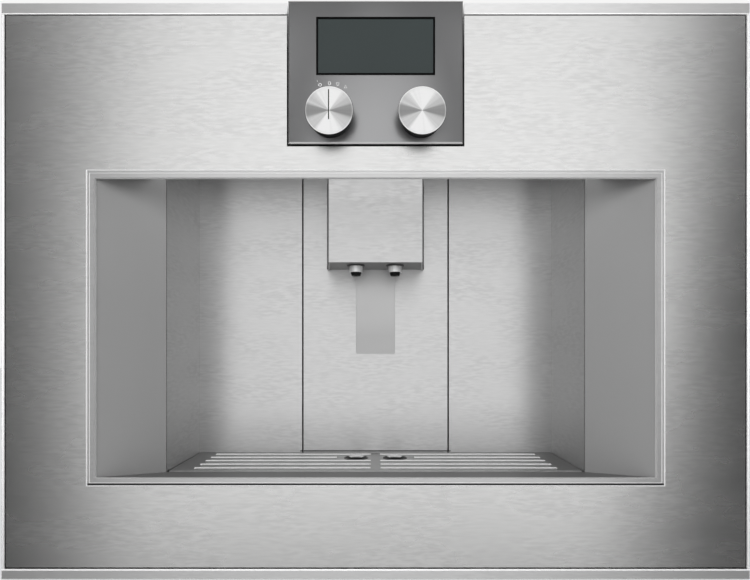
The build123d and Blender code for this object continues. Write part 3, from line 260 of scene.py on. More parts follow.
# Waves per metre of short brushed dashes along x, y and z, and of a grain with no direction
DASHES = (105, 105, 460)
EVEN_GRAIN = (300, 300, 300)


def brushed(name, color, roughness, anisotropy, dashes=DASHES, depth=0.06, side=None):
    """Metal brushed along one direction: dashes in patches, and gloss that spreads across them.

    depth is how much the dashes change the colour. side is painted shade: faces that look
    along X are darkened to that share of the colour.
    """
    finish = Finish(name, color, roughness, metallic=1.0)
    finish.set("Anisotropic", anisotropy)
    finish.tangent(GLOSS_UPWARD)
    covered = (0.36, 0.64)
    short = finish.noise(dashes, detail=1.5)
    fine_dashes = (dashes[X] * 0.5, dashes[Y] * 0.5, dashes[Z] * 3)
    fine = finish.noise(fine_dashes, detail=2.0, roughness=0.6)
    cloud = finish.noise((16, 16, 40), detail=2.0)
    strength = finish.spread(cloud, 0.25, 1.0, 0.4, 0.6)
    change = finish.math("MULTIPLY", finish.swing(short, 0, depth, *covered), strength)
    change = finish.math("ADD", change, finish.swing(fine, 0, depth / 4, *covered))
    shade = finish.math("ADD", change, 1.0)
    # Painted shade: faces that look along X are darkened
    if side is not None:
        sideways_shade = finish.math("POWER", finish.facing(X), 4.0)
        shade = finish.math("MULTIPLY", shade, finish.spread(sideways_shade, 1.0, side, 0.0, 1.0))
    finish.tint(shade)
    finish.drive("Roughness", finish.swing(cloud, roughness, FAINT))
    finish.bump(finish.math("ADD", short, finish.math("MULTIPLY", fine, 0.5)), 0.01 * MM)
    return finish


def painted(name, color, roughness, grain=900, relief=0.02 * MM, metallic=0.0):
    """Satin paint or anodised metal with a fine even grain."""
    finish = Finish(name, color, roughness, metallic)
    cloud = finish.even_noise(12, 2.0)
    finish.tint(finish.swing(cloud, 1, FAINT))
    finish.drive("Roughness", finish.swing(cloud, roughness, FAINT))
    finish.bump(finish.even_noise(grain, 2.0), relief)
    return finish


def moulded(name, color, roughness=0.45, specular=0.45):
    """Moulded plastic: a fine leathery texture and faint flow in the colour."""
    finish = Finish(name, color, roughness)
    finish.set("Specular IOR Level", specular)
    cloud = finish.even_noise(18)
    finish.tint(finish.swing(cloud, 1, 0.06))
    finish.drive("Roughness", finish.swing(cloud, roughness, 0.04))
    finish.bump(finish.even_noise(1400, 2.0), 0.03 * MM)
    return finish


def zinc(name, color, roughness):
    """Zinc-coated sheet with its pattern of crystals."""
    finish = Finish(name, color, roughness, metallic=0.9)
    crystals = finish.add("TexVoronoi")
    crystals.inputs["Scale"].default_value = 150
    finish.link(finish.place(), crystals.inputs["Vector"])
    shade = finish.add("SeparateColor")
    finish.link(crystals.outputs["Color"], shade.inputs[0])
    finish.tint(finish.spread(shade.outputs[0], 0.95, 1.04, 0.0, 1.0))
    finish.drive("Roughness", finish.swing(shade.outputs[1], roughness, 0.03, 0.0, 1.0))
    finish.bump(shade.outputs[2], 0.005 * MM)
    return finish


def clear(name, color, roughness, transmission, ior=1.49):
    """Clear moulded plastic with a faint ripple."""
    finish = Finish(name, color, roughness)
    finish.set("Transmission Weight", transmission)
    finish.set("IOR", ior)
    ripple = finish.even_noise(25, 2.0)
    finish.tint(finish.spread(ripple, 0.97, 1.0))
    finish.bump(ripple, 0.02 * MM)
    return finish


def dark_glass(name, color):
    """Glass over a dark display, with hardly any unevenness."""
    finish = Finish(name, color, roughness=0.22)
    finish.set("Specular IOR Level", 0.35)
    cloud = finish.even_noise(14, 1.0)
    finish.tint(finish.swing(cloud, 1, 0.07))
    finish.bump(cloud, 0.005 * MM)
    return finish


def board(name):
    """Circuit board: green mask over darker tracks."""
    finish = Finish(name, (0.02, 0.13, 0.05), roughness=0.35)
    tracks = finish.add("TexBrick")
    tracks.inputs["Scale"].default_value = 90
    tracks.inputs["Color1"].default_value = (0.02, 0.15, 0.06, 1)
    tracks.inputs["Color2"].default_value = (0.015, 0.10, 0.04, 1)
    tracks.inputs["Mortar"].default_value = (0.03, 0.22, 0.09, 1)
    finish.link(finish.place(), tracks.inputs["Vector"])
    finish.drive("Base Color", tracks.outputs["Color"])
    finish.bump(tracks.outputs["Fac"], 0.05 * MM)
    return finish


# Painted highlight of a turned face: brightness in its colour from its sides (0) to straight above
# and below its middle (1)
KNOB_PAINTED_HIGHLIGHT = [(0.0, 0.36), (0.24, 0.38), (0.38, 0.72), (0.75, 0.78), (0.89, 1.05), (1.0, 1.05)]
KNOB_RINGS = 2600.0


def turned(node):
    """Knob: a turned steel face, whose gloss fans out from its middle, over a black side.

    The face is cut in fine rings. A painted highlight, brightest above and below its middle
    and dull at both sides, stays where it is while the knob turns; the fine spokes turn.
    A painted highlight also lightens the rim of the face.
    """
    x, z, front, rim = knob_face(node)
    finish = Finish(node, grey(0.96), roughness=0.33, metallic=1.0)
    finish.set("Anisotropic", 0.9)

    def spoke(place):
        """The way out from the knob's axis to a place."""
        away = finish.vector_math("SUBTRACT", place, (x, 0.0, z))
        return finish.vector_math("MULTIPLY", away, (1.0, 0.0, 1.0))

    out = spoke(finish.place())
    radius = finish.measure("LENGTH", out)
    finish.tangent(out)
    rings = finish.add("TexNoise", noise_dimensions="1D")
    rings.inputs["Scale"].default_value = 1.0
    rings.inputs["Detail"].default_value = 3.0
    finish.link(finish.math("MULTIPLY", radius, KNOB_RINGS), rings.inputs["W"])
    finish.bump(rings.outputs["Fac"], 0.012 * MM)
    spokes = finish.add("TexNoise")
    spokes.inputs["Scale"].default_value = 3.0
    spokes.inputs["Detail"].default_value = 4.0
    finish.link(finish.vector_math("NORMALIZE", out), spokes.inputs["Vector"])
    # Painted highlight: brightest above and below the knob's axis, fixed in world place
    still = spoke(finish.add("NewGeometry").outputs["Position"])
    rise = finish.split(finish.vector_math("NORMALIZE", still), Z)
    painted_fan = ramp(finish.tree, finish.math("ABSOLUTE", rise), KNOB_PAINTED_HIGHLIGHT)
    # Painted highlight: the rim of the face is lightened in its colour
    edge = finish.spread(radius, 0.0, 0.2, rim - 0.9 * MM, rim - 0.2 * MM)
    streaks = finish.spread(spokes.outputs["Fac"], 0.86, 1.08, 0.35, 0.65)
    shade = finish.math("MULTIPLY", painted_fan, streaks)
    shade = finish.math("MULTIPLY", shade, finish.swing(rings.outputs["Fac"], 1, 0.04))
    finish.tint(finish.math("MINIMUM", finish.math("ADD", shade, edge), 1.0))
    behind = finish.math("GREATER_THAN", finish.axis(Y), front + 1.1 * MM)
    outside = finish.math("GREATER_THAN", radius, rim + 0.5 * MM)
    return finish.inlay(finish.math("MAXIMUM", behind, outside), grey(0.003))


# How strongly the control module's plate is crowned along x and z, and how far
# the crown's middle is above the knobs
CROWN = (1.52, 0.0, 1.66)
CROWN_RISE = 8.0 * MM


def module_plate(name, color):
    """Satin plate, crowned a little towards the knobs, with a bevelled edge: painted shade on its
    sides, painted highlight along its top and foot.
    """
    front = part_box("module_fascia")[0].y
    middle = (0.0, 0.0, knob_face("mode_knob")[1] + CROWN_RISE)
    finish = Finish(name, color, roughness=0.34, metallic=0.8)
    finish.set("Anisotropic", 0.2)
    finish.tangent(GLOSS_UPWARD)
    grain = finish.even_noise(1200, 2.0)
    finish.tint(finish.swing(finish.even_noise(12, 2.0), 1, FAINT))
    away = finish.vector_math("SUBTRACT", finish.place(), middle)
    out = finish.vector_math("MULTIPLY", away, CROWN)
    crown = finish.math("MULTIPLY", finish.measure("DOT_PRODUCT", out, out), -1.0)
    finish.bump(finish.math("ADD", crown, finish.math("MULTIPLY", grain, 0.004 * MM)), 1.0)
    slanted = finish.math("LESS_THAN", finish.facing(Y), 0.9)
    ahead = finish.math("LESS_THAN", finish.axis(Y), front + 1.6 * MM)
    painted_bevel = finish.math("MULTIPLY", slanted, ahead)
    finish.drive("Metallic", finish.spread(painted_bevel, 0.8, 0.1, 0.0, 1.0))
    # Painted shade on the bevels at the sides
    finish.inlay(painted_bevel, grey(0.12))
    # Painted highlight on the bevels along the top and the foot
    level = finish.math("GREATER_THAN", finish.facing(Z), 0.3)
    return finish.inlay(finish.math("MULTIPLY", painted_bevel, level), grey(0.56))


def grate_finish():
    """Brushed plate; the flat top of each bar is painted near white and hardly metallic, a painted
    highlight.
    """
    finish = brushed("grate_steel", grey(0.43), 0.36, 0.5, dashes=(50, 1400, 1400))
    # Painted highlight: the bar tops are painted near white
    bar_highlight = finish.math("GREATER_THAN", finish.axis(Z), BAR_TOP - 0.4 * MM)
    finish.drive("Metallic", finish.spread(bar_highlight, 1.0, 0.05, 0.0, 1.0))
    return finish.inlay(bar_highlight, grey(0.97))


def liner_finish():
    """Satin paint, with painted shade darkening the sill."""
    finish = painted("liner", grey(0.25), 0.5)
    # Painted shade on the sill
    level = finish.math("GREATER_THAN", finish.facing(Z), 0.8)
    low = finish.math("LESS_THAN", finish.axis(Z), BEZEL_FOOT + 30 * MM)
    return finish.inlay(finish.math("MULTIPLY", level, low), grey(0.155))


def bezel_finish():
    """Polished frame with a painted shadow along its foot, and painted light on its inner walls,
    whose pale satin paint lifts their shade.
    """
    finish = brushed("bezel", grey(0.67), 0.34, 0.6, depth=0.03)
    ahead = finish.math("GREATER_THAN", finish.facing(Y), 0.5)
    finish.drive("Metallic", ahead)
    # Painted light: the inner walls are painted pale to lift their shade
    finish.inlay(finish.math("SUBTRACT", 1.0, ahead), grey(0.72))
    # Painted shadow along the foot of the frame
    foot = finish.math("LESS_THAN", finish.axis(Z), BEZEL_FOOT + 1.5 * MM)
    return finish.inlay(foot, grey(0.055))


def guide_finish():
    """Guide plate, with painted light making it lighter towards the outlet, and a fine groove along
    each edge.
    """
    low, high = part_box("dispenser_guide")
    finish = brushed("guide", grey(0.60), 0.5, 0.3)
    # Painted light: lighter towards the outlet, lifting the shade under it
    finish.tint(finish.spread(finish.axis(Z), 1.0, 1.3, low.z + 25 * MM, low.z + 75 * MM))
    grooves = finish.math("GREATER_THAN", finish.across(X), high.x - 0.9 * MM)
    return finish.inlay(grooves, grey(0.30))


def collar_finish():
    """Satin chrome sleeve below a flange painted dark as shade."""
    finish = brushed("collar", grey(0.92), 0.36, 0.3, EVEN_GRAIN, depth=0.02)
    finish.set("Metallic", 0.45)
    # Painted shade: the flange is darkened
    flange = finish.math("GREATER_THAN", finish.axis(Z), COLLAR_TOP - 1.25 * MM)
    return finish.inlay(flange, grey(0.09))


def cover_finish():
    """The outlet's brushed cover, with painted shade on its sides and a dark line painted as shade
    along each side edge.
    """
    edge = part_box("dispenser_cover")[1].x
    # Painted shade: the sides are darkened to 0.15, and a dark line is painted along each side edge
    finish = brushed("cover_steel", grey(0.63), 0.36, 0.5, depth=0.08, side=0.15)
    lines = finish.math("GREATER_THAN", finish.across(X), edge - 0.25 * MM)
    return finish.inlay(lines, grey(0.16))


# Finishes of the record's material slots: name, colour, roughness, and after that
# anisotropy for brushed metal, specular level for plastic, transmission for clear plastic
FINISHES = {
    "brushed_steel": brushed("door_steel", (0.775, 0.775, 0.77), 0.27, 0.82),
    "polished_trim": brushed("trim", grey(0.60), 0.30, 0.3, EVEN_GRAIN, depth=0.02),
    "rail_aluminium": brushed("rail", grey(0.93), 0.38, 0.4, depth=0.03),
    "liner_grey": liner_finish(),
    "carrier_plastic": moulded("carrier", (0.055, 0.055, 0.057)),
    "anthracite": module_plate("anthracite", (0.345, 0.345, 0.35)),
    "display_black": moulded("display_rim", grey(0.002), 0.6, 0.05),
    "display_dark": dark_glass("display", (0.019, 0.027, 0.027)),
    "board_green": board("circuit_board"),
    "black_plastic": moulded("black_plastic", (0.022, 0.022, 0.023)),
    "galvanised": zinc("zinc_sheet", (0.62, 0.63, 0.64), 0.38),
    "recess_dark": painted("dark_wall", grey(0.02), 0.6),
    "rubber": moulded("rubber", grey(0.025), 0.75),
    "frame_plastic": moulded("frame_plastic", (0.075, 0.076, 0.079), 0.5),
    "tank_clear": clear("tank", (0.86, 0.91, 0.93), 0.06, 0.85),
    "hopper_smoke": clear("hopper", (0.30, 0.27, 0.24), 0.08, 0.8),
    "light_lens": painted("lens", (0.85, 0.85, 0.83), 0.4),
    "float_red": moulded("float", (0.50, 0.02, 0.015), 0.35),
    "hinge_steel": zinc("hinge_zinc", (0.50, 0.50, 0.51), 0.34),
    "cast_aluminium": painted("cast", grey(0.55), 0.5, 500, relief=0.1 * MM, metallic=1.0),
    "burr_steel": brushed("burr", grey(0.55), 0.3, 0.4),
    "silicone": moulded("hose", (0.62, 0.64, 0.62), 0.4),
    "magnet": painted("magnet", (0.35, 0.35, 0.36), 0.3, relief=0.01 * MM, metallic=1.0),
}
# Nodes with a finish of their own
SPECIAL = {
    "mode_knob": turned("mode_knob"),
    "selector_knob": turned("selector_knob"),
    "drip_grate": grate_finish(),
    # side=0.68 paints shade onto the recess's side walls
    "recess_walls": brushed("recess_steel", grey(0.74), 0.40, 0.7, side=0.68),
    "recess_center_panel": brushed("recess_steel_middle", grey(0.74), 0.40, 0.7),
    "dispenser_cover": cover_finish(),
    "dispenser_body": moulded("outlet_block", grey(0.26), 0.4),
    "dispenser_guide": guide_finish(),
    "nozzle_collars": collar_finish(),
    "nozzle_tips": moulded("nozzle_tip", grey(0.006), 0.5, 0.2),
    "door_bezel": bezel_finish(),
}


def dress():
    """Gives every CAD node the finish of its slot, or its own."""
    for part in frame["record"]["subparts"]:
        finish = SPECIAL.get(part["node"]) or FINISHES[part["material_slot"]]
        for slot in nodes[part["node"]].material_slots:
            slot.material = finish.material


def add_piece(name, make, finish, body, smooth=0):
    """A new mesh piece, shaped by make, riding on a body.

    smooth is the number of corners of the faces that are shaded smooth.
    """
    mesh = bpy.data.meshes.new(name)
    shape = bmesh.new()
    make(shape)
    bmesh.ops.recalc_face_normals(shape, faces=shape.faces)
    shape.to_mesh(mesh)
    shape.free()
    for face in mesh.polygons:
        face.use_smooth = len(face.vertices) == smooth
    mesh.materials.append(finish.material)
    piece = add_object(name, mesh)
    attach(piece, body)


def sweep(shape, profile, stations, closed=False):
    """Carries a closed profile through stations, each of which turns its points into places.

    A closed sweep comes round to its first station again. Another one is capped at both ends.
    """
    rings = [[shape.verts.new(station(point)) for point in profile] for station in stations]
    count = len(profile)
    for a, b in zip(rings, rings[1:] + rings[:1] if closed else rings[1:]):
        for i in range(count):
            j = (i + 1) % count
            shape.faces.new((a[i], a[j], b[j], b[i]))
    if not closed:
        shape.faces.new(rings[0])
        shape.faces.new(rings[-1][::-1])


def turn(shape, profile, place, steps):
    """Carries a profile of (radius, along) points round; place(angle, radius, along) is a point."""
    angles = [2 * pi * k / steps for k in range(steps)]
    sweep(shape, profile, [lambda p, a=a: place(a, *p) for a in angles], closed=True)


def add_plate(shape, outline, front, thickness):
    """A thin plate from an outline of (x, z) points, facing forward."""
    depths = (front, front + thickness)
    sweep(shape, outline, [lambda p, y=y: (p[0], y, p[1]) for y in depths])


def add_strip(shape, x0, x1, foot, head, front, thickness):
    """A thin upright rectangle, facing forward."""
    add_plate(shape, [(x0, foot), (x1, foot), (x1, head), (x0, head)], front, thickness)


def add_outline(shape, outline, width, front, thickness):
    """A closed outline of (x, z) points drawn as a thin raised line of even width."""
    centre = Vector((sum(p[0] for p in outline), sum(p[1] for p in outline))) / len(outline)

    def station(inward, y):
        def place(point):
            out = Vector(point) - centre
            spot = Vector(point) - out.normalized() * inward
            return (spot.x, y, spot.y)

        return place

    rear = front + thickness
    corners = ((0, front), (width, front), (width, rear), (0, rear))
    sweep(shape, outline, [station(*corner) for corner in corners], closed=True)


def half_round(width, height, steps=6):
    """Half-round profile: points (across, out) from one foot to the other."""
    angles = [pi * k / steps for k in range(steps + 1)]
    return [(-width / 2 * cos(a), height * sin(a)) for a in angles]


def knob_pointer():
    """Black line let into the left knob, from near its rim to below its middle."""
    x, z, front, _ = knob_face("mode_knob")
    x -= 0.35 * MM
    half = 0.4 * MM
    foot = z - 6.8 * MM
    head = z + 16.0 * MM

    def make(shape):
        add_strip(shape, x - half, x + half, foot, head, front - 0.02 * MM, 0.1 * MM)

    add_piece("knob_pointer", make, FINISHES["display_black"], "mode_knob")


def knob_rims():
    """A bevelled rim round each knob's turned face."""
    for node in ("mode_knob", "selector_knob"):
        cx, cz, front, radius = knob_face(node)
        inner = radius - 0.6 * MM
        outer = radius + 0.75 * MM
        rear = front + 1.2 * MM
        profile = [
            (inner, front),
            (outer - 0.2 * MM, front),
            (outer, front + 0.25 * MM),
            (outer, rear - 0.3 * MM),
            (outer - 0.4 * MM, rear),
            (inner, rear),
        ]

        def place(angle, r, y):
            return (cx + r * sin(angle), y, cz + r * cos(angle))

        def make(shape):
            turn(shape, profile, place, 96)

        add_piece(node + "_rim", make, SPECIAL[node], node)


# Marks round the left knob: angle clockwise from the top, and outline in units of their size
MARKS = {
    -17.5: [(cos(radians(30 * k)), sin(radians(30 * k))) for k in range(12)],
    -1.6: [(-0.8, 1), (0.8, 1), (0.8, -0.3), (0.4, -1), (-0.4, -1), (-0.8, -0.3)],
    12.0: [(-1, 0.9), (1, 0.9), (0.5, -0.9), (-0.5, -0.9)],
    25.5: [(0, 1.1), (0.9, -0.8), (-0.9, -0.8)],
}
MARK_RADIUS = 27.2 * MM
MARK_SIZE = 1.3 * MM
MARK_LINE = 0.4 * MM
DOT_ANGLE = -19.6
DOT_RADIUS = MARK_RADIUS + 3.5 * MM
DOT_SIZE = 0.3 * MM
INK = 0.04 * MM


def knob_marks():
    """Plain marks of the left knob's positions, printed on the control module."""
    cx, cz, _, _ = knob_face("mode_knob")
    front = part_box("module_fascia")[0].y - INK

    def moved(outline, angle, radius, size):
        x = cx + radius * sin(radians(angle))
        z = cz + radius * cos(radians(angle))
        return [(x + px * size, z + pz * size) for px, pz in outline]

    def make(shape):
        for angle, outline in MARKS.items():
            points = moved(outline, angle, MARK_RADIUS, MARK_SIZE)
            add_outline(shape, points, MARK_LINE, front, INK)
        dot = [(cos(pi / 4 * k), sin(pi / 4 * k)) for k in range(8)]
        add_plate(shape, moved(dot, DOT_ANGLE, DOT_RADIUS, DOT_SIZE), front, INK)

    ink = painted("mark_ink", grey(0.80), 0.6)
    add_piece("knob_marks", make, ink, "machine_body")


def add_bead(name, place, ends, width, height, finish):
    """Straight half-round bead on the door; place(along, across, out) gives a point."""
    stations = [lambda p, t=t: place(t, *p) for t in ends]

    def make(shape):
        sweep(shape, half_round(width * MM, height * MM), stations)

    add_piece(name, make, finish, "door", smooth=4)


def add_ring(name, outward, width, height, front, finish):
    """A half-round bead round the bezel's outline, mitred at its corners."""
    low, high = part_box("door_bezel")
    corners = [
        (low.x, low.z, -1, -1),
        (high.x, low.z, 1, -1),
        (high.x, high.z, 1, 1),
        (low.x, high.z, -1, 1),
    ]

    def station(corner):
        x, z, sx, sz = corner

        def place(point):
            out = outward * MM + point[0]
            return (x + sx * out, front - point[1], z + sz * out)

        return place

    def make(shape):
        stations = [station(corner) for corner in corners]
        sweep(shape, half_round(width * MM, height * MM), stations, closed=True)

    add_piece(name, make, finish, "door")


def door_beads():
    """Rounded edges of the door's rails, painted near white as a painted highlight, and the hem of
    the sheet round the opening, partly painted light.
    """
    low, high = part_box("door_rails")

    def level(z):
        return lambda along, across, out: (along, low.y - out, z + across)

    def upright(x):
        return lambda along, across, out: (x + across, low.y - out, along)

    # Painted highlight: the rail edges are painted near white
    bead_highlight = painted("bead", grey(0.95), 0.3, relief=0.01 * MM, metallic=0.05)
    # Partly real gloss, partly painted light: the hem is pale and only partly metallic
    hem = brushed("hem", grey(0.95), 0.36, 0.2, dashes=(60, 300, 300), depth=0.02)
    hem.set("Metallic", 0.7)
    left_end = low.x + 0.3 * MM
    right_end = high.x - 0.3 * MM
    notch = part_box("module_fascia")[1].x + 1.6 * MM
    bottom = level(low.z + 7.2 * MM)
    top = level(high.z - 8.3 * MM)
    heights = (low.z + 8.2 * MM, high.z - 9.1 * MM)
    side = high.x - 1.2 * MM
    beads = [
        ("bottom_rail_nose", bottom, (left_end, right_end), 1.6, 0.55),
        ("top_rail_nose_left", top, (left_end, -notch), 1.0, 0.35),
        ("top_rail_nose_right", top, (notch, right_end), 1.0, 0.35),
        ("side_rail_nose_left", upright(-side), heights, 2.0, 0.6),
        ("side_rail_nose_right", upright(side), heights, 2.0, 0.6),
    ]
    for bead in beads:
        add_bead(*bead, bead_highlight)
    add_ring("opening_hem", 0.7, 1.2, 0.35, FACE_Y, hem)
    add_ring("bezel_bead", -1.9, 0.6, 0.15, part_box("door_bezel")[0].y, hem)


# How much wider the outlet's cover is at its rear than at its front, on each side
COVER_FLARE = 4.85 * MM


def outlet_sides():
    """Thin dark plates along the flared sides of the outlet's cover."""
    low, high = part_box("dispenser_cover")
    front = low.y + 2.0 * MM
    rear = high.y - 1.0 * MM
    near = high.x - COVER_FLARE + 0.30 * MM
    far = high.x - 0.03 * MM
    profile = [
        (near, front),
        (near + 0.25 * MM, front),
        (far + 1.3 * MM, rear - 0.6 * MM),
        (far + 1.1 * MM, rear),
        (far, rear),
    ]
    heights = (low.z + 1.0 * MM, high.z - 1.0 * MM)
    dark = moulded("outlet_side", (0.07, 0.07, 0.072), 0.45)
    for side, word in SIDES:

        def make(shape):
            sweep(shape, profile, [lambda p, z=z: (side * p[0], p[1], z) for z in heights])

        add_piece("outlet_side_" + word, make, dark, "dispenser_cover")


def recess_lines():
    """Seam at the foot of the recess's back, the grate's rear lip, and the strip before it."""
    panel_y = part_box("recess_center_panel")[0].y
    grate_low, grate_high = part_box("drip_grate")
    half = grate_high.x - 0.5 * MM
    seam_half = 78 * MM

    def seam(shape):
        foot = PLATE_TOP + 1.3 * MM
        head = PLATE_TOP + 2.5 * MM
        add_strip(shape, -seam_half, seam_half, foot, head, panel_y - 0.12 * MM, 0.2 * MM)

    def lip(shape):
        foot = PLATE_TOP - 0.2 * MM
        head = PLATE_TOP + 0.5 * MM
        add_strip(shape, -half, half, foot, head, grate_high.y - 0.7 * MM, 0.6 * MM)

    def threshold(shape):
        front = FACE_Y + 47.1 * MM
        rear = grate_low.y - 0.25 * MM
        foot = PLATE_TOP - 2.0 * MM
        head = PLATE_TOP - 0.25 * MM
        edge = 0.3 * MM
        profile = [
            (front, foot),
            (rear, foot),
            (rear, head),
            (front + edge, head),
            (front, head - edge),
        ]
        sweep(shape, profile, [lambda p, x=x: (x, *p) for x in (-half, half)])

    dark = FINISHES["recess_dark"]
    steel = SPECIAL["recess_walls"]
    add_piece("recess_foot_seam", seam, dark, "machine_body")
    add_piece("grate_rear_lip", lip, SPECIAL["drip_grate"], "grate")
    add_piece("recess_threshold", threshold, steel, "machine_body")


# The grate's two drains: distance from the middle, and (radius, rise) profiles in mm
DRAIN_X = 19.2 * MM
DRAIN_PROFILES = {
    "ring": [
        (12.0, 0.03), (11.7, 0.30), (10.8, 0.30), (10.2, 0.05), (10.2, -0.35), (12.0, -0.02),
    ],
    "bowl": [
        (10.2, -0.02), (8.0, -2.10), (6.0, -4.00), (4.6, -5.20), (4.4, -5.20), (6.0, -4.20),
        (10.2, -0.30),
    ],
}


def drain_cups():
    """A black ring and a black cone in each of the grate's drains, with a painted highlight along
    the top of their rear side.
    """
    tip_low, tip_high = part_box("nozzle_tips")
    y = (tip_low.y + tip_high.y) / 2
    dark = moulded("drain_black", grey(0.008), roughness=0.3, specular=0.3)
    # Painted highlight on the top of the rear side
    rear = dark.math("GREATER_THAN", dark.axis(Y), y + 7.4 * MM)
    highlight_height = dark.math("GREATER_THAN", dark.axis(Z), PLATE_TOP - 1.0 * MM)
    dark.inlay(dark.math("MULTIPLY", rear, highlight_height), grey(0.95))
    for side, word in SIDES:
        x = side * DRAIN_X

        def place(angle, r, rise):
            return (x + r * MM * cos(angle), y + r * MM * sin(angle), PLATE_TOP + rise * MM)

        for kind, profile in DRAIN_PROFILES.items():

            def make(shape):
                turn(shape, profile, place, 64)

            name = "drain_" + kind + "_" + word
            add_piece(name, make, dark, "grate", smooth=4)


# Studio: a wide soft light in front, darker to both sides, over a pale floor.
# Its brightness by direction, in degrees: round from straight ahead, and up
AROUND = [
    (-180, 0.80), (-90, 0.70), (-61, 0.62), (-52, 0.26), (-45, 0.0), (-38, 0.04),
    (-35, 0.12), (-31, 0.46), (-27, 0.88), (-24, 0.94), (-20, 0.96), (-12, 1.0),
    (12, 1.0), (26, 1.0), (29.6, 1.0), (32.6, 0.82), (34.6, 0.36), (36.6, 0.08),
    (39, 0.02), (49, 0.0), (56, 0.26), (65, 0.62), (90, 0.70), (180, 0.80),
]
UPWARD = [
    (-90, 0.55), (-55, 0.50), (-40, 0.08), (-30, 0.02), (-23, 0.30), (-20, 0.66),
    (-17, 1.03), (-5, 1.02), (6, 1.0), (40, 0.97), (55, 0.75), (70, 0.4), (90, 0.3),
]
STUDIO_LEVEL = 1.06
BACKDROP_LEVEL = 0.92
# The bright field narrows with every degree below and above its middle band
BAND_LOW = -5.0
BAND_HIGH = 10.0
NARROW_BELOW = 0.013
NARROW_BELOW_SKEW = 0.005
NARROW_ABOVE = 0.0025
# and on its right with every degree under a height, down to the horizon
RIGHT_HEIGHT = 28.0
NARROW_RIGHT = 0.0036


def add_world():
    world = bpy.data.worlds.new("studio")
    bpy.context.scene.world = world
    world.use_nodes = True
    tree = world.node_tree
    background = tree.nodes["Background"]
    background.inputs["Color"].default_value = (1, 1, 1, 1)
    direction = tree.nodes.new("ShaderNodeTexCoord").outputs["Generated"]
    split = tree.nodes.new("ShaderNodeSeparateXYZ")
    tree.links.new(direction, split.inputs[0])

    def calc(operation, a, b=None):
        return operate(tree, "Math", operation, a, b).outputs[0]

    def above_zero(value):
        return calc("MAXIMUM", value, 0.0)

    degree = 180 / pi
    forward = calc("MULTIPLY", split.outputs[Y], -1.0)
    around = calc("MULTIPLY", calc("ARCTAN2", split.outputs[X], forward), degree)
    upward = calc("MULTIPLY", calc("ARCSINE", split.outputs[Z]), degree)
    side = calc("SIGN", around)
    below = above_zero(calc("SUBTRACT", BAND_LOW, upward))
    above = above_zero(calc("SUBTRACT", upward, BAND_HIGH))
    lean = calc("ADD", calc("MULTIPLY", side, NARROW_BELOW_SKEW), NARROW_BELOW)
    narrow = calc("ADD", calc("MULTIPLY", below, lean), calc("MULTIPLY", above, NARROW_ABOVE))
    falling = calc("MINIMUM", above_zero(calc("SUBTRACT", RIGHT_HEIGHT, upward)), RIGHT_HEIGHT)
    falling = calc("MULTIPLY", falling, NARROW_RIGHT)
    narrow = calc("ADD", narrow, calc("MULTIPLY", above_zero(side), falling))
    around = calc("MULTIPLY", around, calc("ADD", narrow, 1.0))
    stops = [((angle + 180) / 360, level) for angle, level in AROUND]
    round_light = ramp(tree, calc("DIVIDE", calc("ADD", around, 180), 360), stops)
    stops = [((angle + 90) / 180, level) for angle, level in UPWARD]
    rise_light = ramp(tree, calc("DIVIDE", calc("ADD", upward, 90), 180), stops)
    light = calc("MULTIPLY", calc("MULTIPLY", round_light, rise_light), STUDIO_LEVEL)
    rays = tree.nodes.new("ShaderNodeLightPath")
    mix = tree.nodes.new("ShaderNodeMix")
    mix.data_type = "FLOAT"
    tree.links.new(rays.outputs["Is Camera Ray"], mix.inputs["Factor"])
    tree.links.new(light, mix.inputs["A"])
    mix.inputs["B"].default_value = BACKDROP_LEVEL
    tree.links.new(mix.outputs["Result"], background.inputs["Strength"])


def add_lamp(name, location, target, size, power):
    """A rectangular lamp that looks at a target."""
    data = bpy.data.lights.new(name, "AREA")
    data.shape = "RECTANGLE"
    data.size, data.size_y = size
    data.energy = power
    lamp = add_object(name, data)
    lamp.location = location
    aim = Vector(target) - Vector(location)
    lamp.rotation_euler = aim.to_track_quat("-Z", "Y").to_euler()
    return lamp


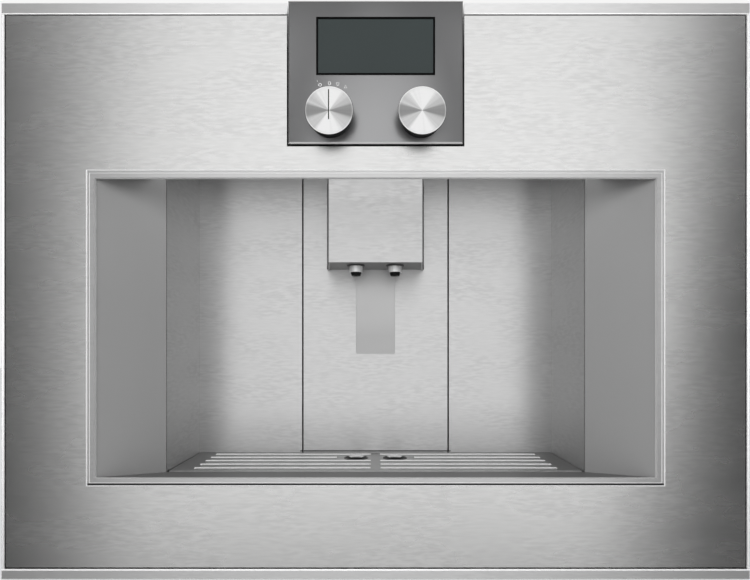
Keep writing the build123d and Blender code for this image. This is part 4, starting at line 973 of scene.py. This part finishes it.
def add_glow(name, front, rear, width, radiance):
    """A strip of light inside the recess, between two (depth, height above the opening) lines."""
    edge = Vector((0, FACE_Y + front[0] * MM, LINER_TOP + front[1] * MM))
    back = Vector((0, FACE_Y + rear[0] * MM, LINER_TOP + rear[1] * MM))
    middle = (edge + back) / 2
    inward = Vector((0, back.z - edge.z, edge.y - back.y))
    height = (back - edge).length
    power = radiance * pi * width * height
    lamp = add_lamp(name, middle, middle + inward, (width, height), power)
    lamp.visible_camera = False


FLOOR_HALF = 6
FLOOR_GLOW = 0.80
FLOOR_GLOW_SHARE = 0.55


def add_floor():
    """A pale floor, which looks a little paler to the camera than its light makes it."""
    mesh = bpy.data.meshes.new("floor")
    shape = bmesh.new()
    bmesh.ops.create_grid(shape, x_segments=1, y_segments=1, size=FLOOR_HALF)
    shape.to_mesh(mesh)
    shape.free()
    floor = add_object("floor", mesh)
    finish = painted("floor", grey(0.85), 0.8)
    glow = finish.add("Emission")
    glow.inputs["Color"].default_value = (*grey(FLOOR_GLOW), 1)
    blend = finish.add("MixShader")
    seen = finish.add("LightPath").outputs["Is Camera Ray"]
    finish.link(finish.math("MULTIPLY", seen, FLOOR_GLOW_SHARE), blend.inputs[0])
    finish.link(finish.shader.outputs[0], blend.inputs[1])
    finish.link(glow.outputs[0], blend.inputs[2])
    finish.link(blend.outputs[0], finish.tree.nodes["Material Output"].inputs["Surface"])
    mesh.materials.append(finish.material)
    floor.visible_glossy = False


def add_studio():
    add_world()
    key = add_lamp("key", (-0.15, -1.9, 0.75), target=(0, 0, 0.2), size=(1.1, 0.9), power=23)
    key.visible_glossy = False
    add_glow("liner_glow", front=(4, -0.6), rear=(46.5, 17.5), width=0.38, radiance=0.78)
    add_glow("roof_glow", front=(49.5, 17), rear=(52, 46), width=0.355, radiance=0.98)
    back = add_lamp("back", (1.2, 2.0, 1.6), target=(0, 0.1, 0.2), size=(1.2, 1.2), power=18)
    back.visible_glossy = False
    add_floor()


add_camera()
dress()
knob_pointer()
knob_rims()
knob_marks()
door_beads()
outlet_sides()
recess_lines()
drain_cups()
add_studio()
bpy.context.scene.view_settings.view_transform = "Standard"
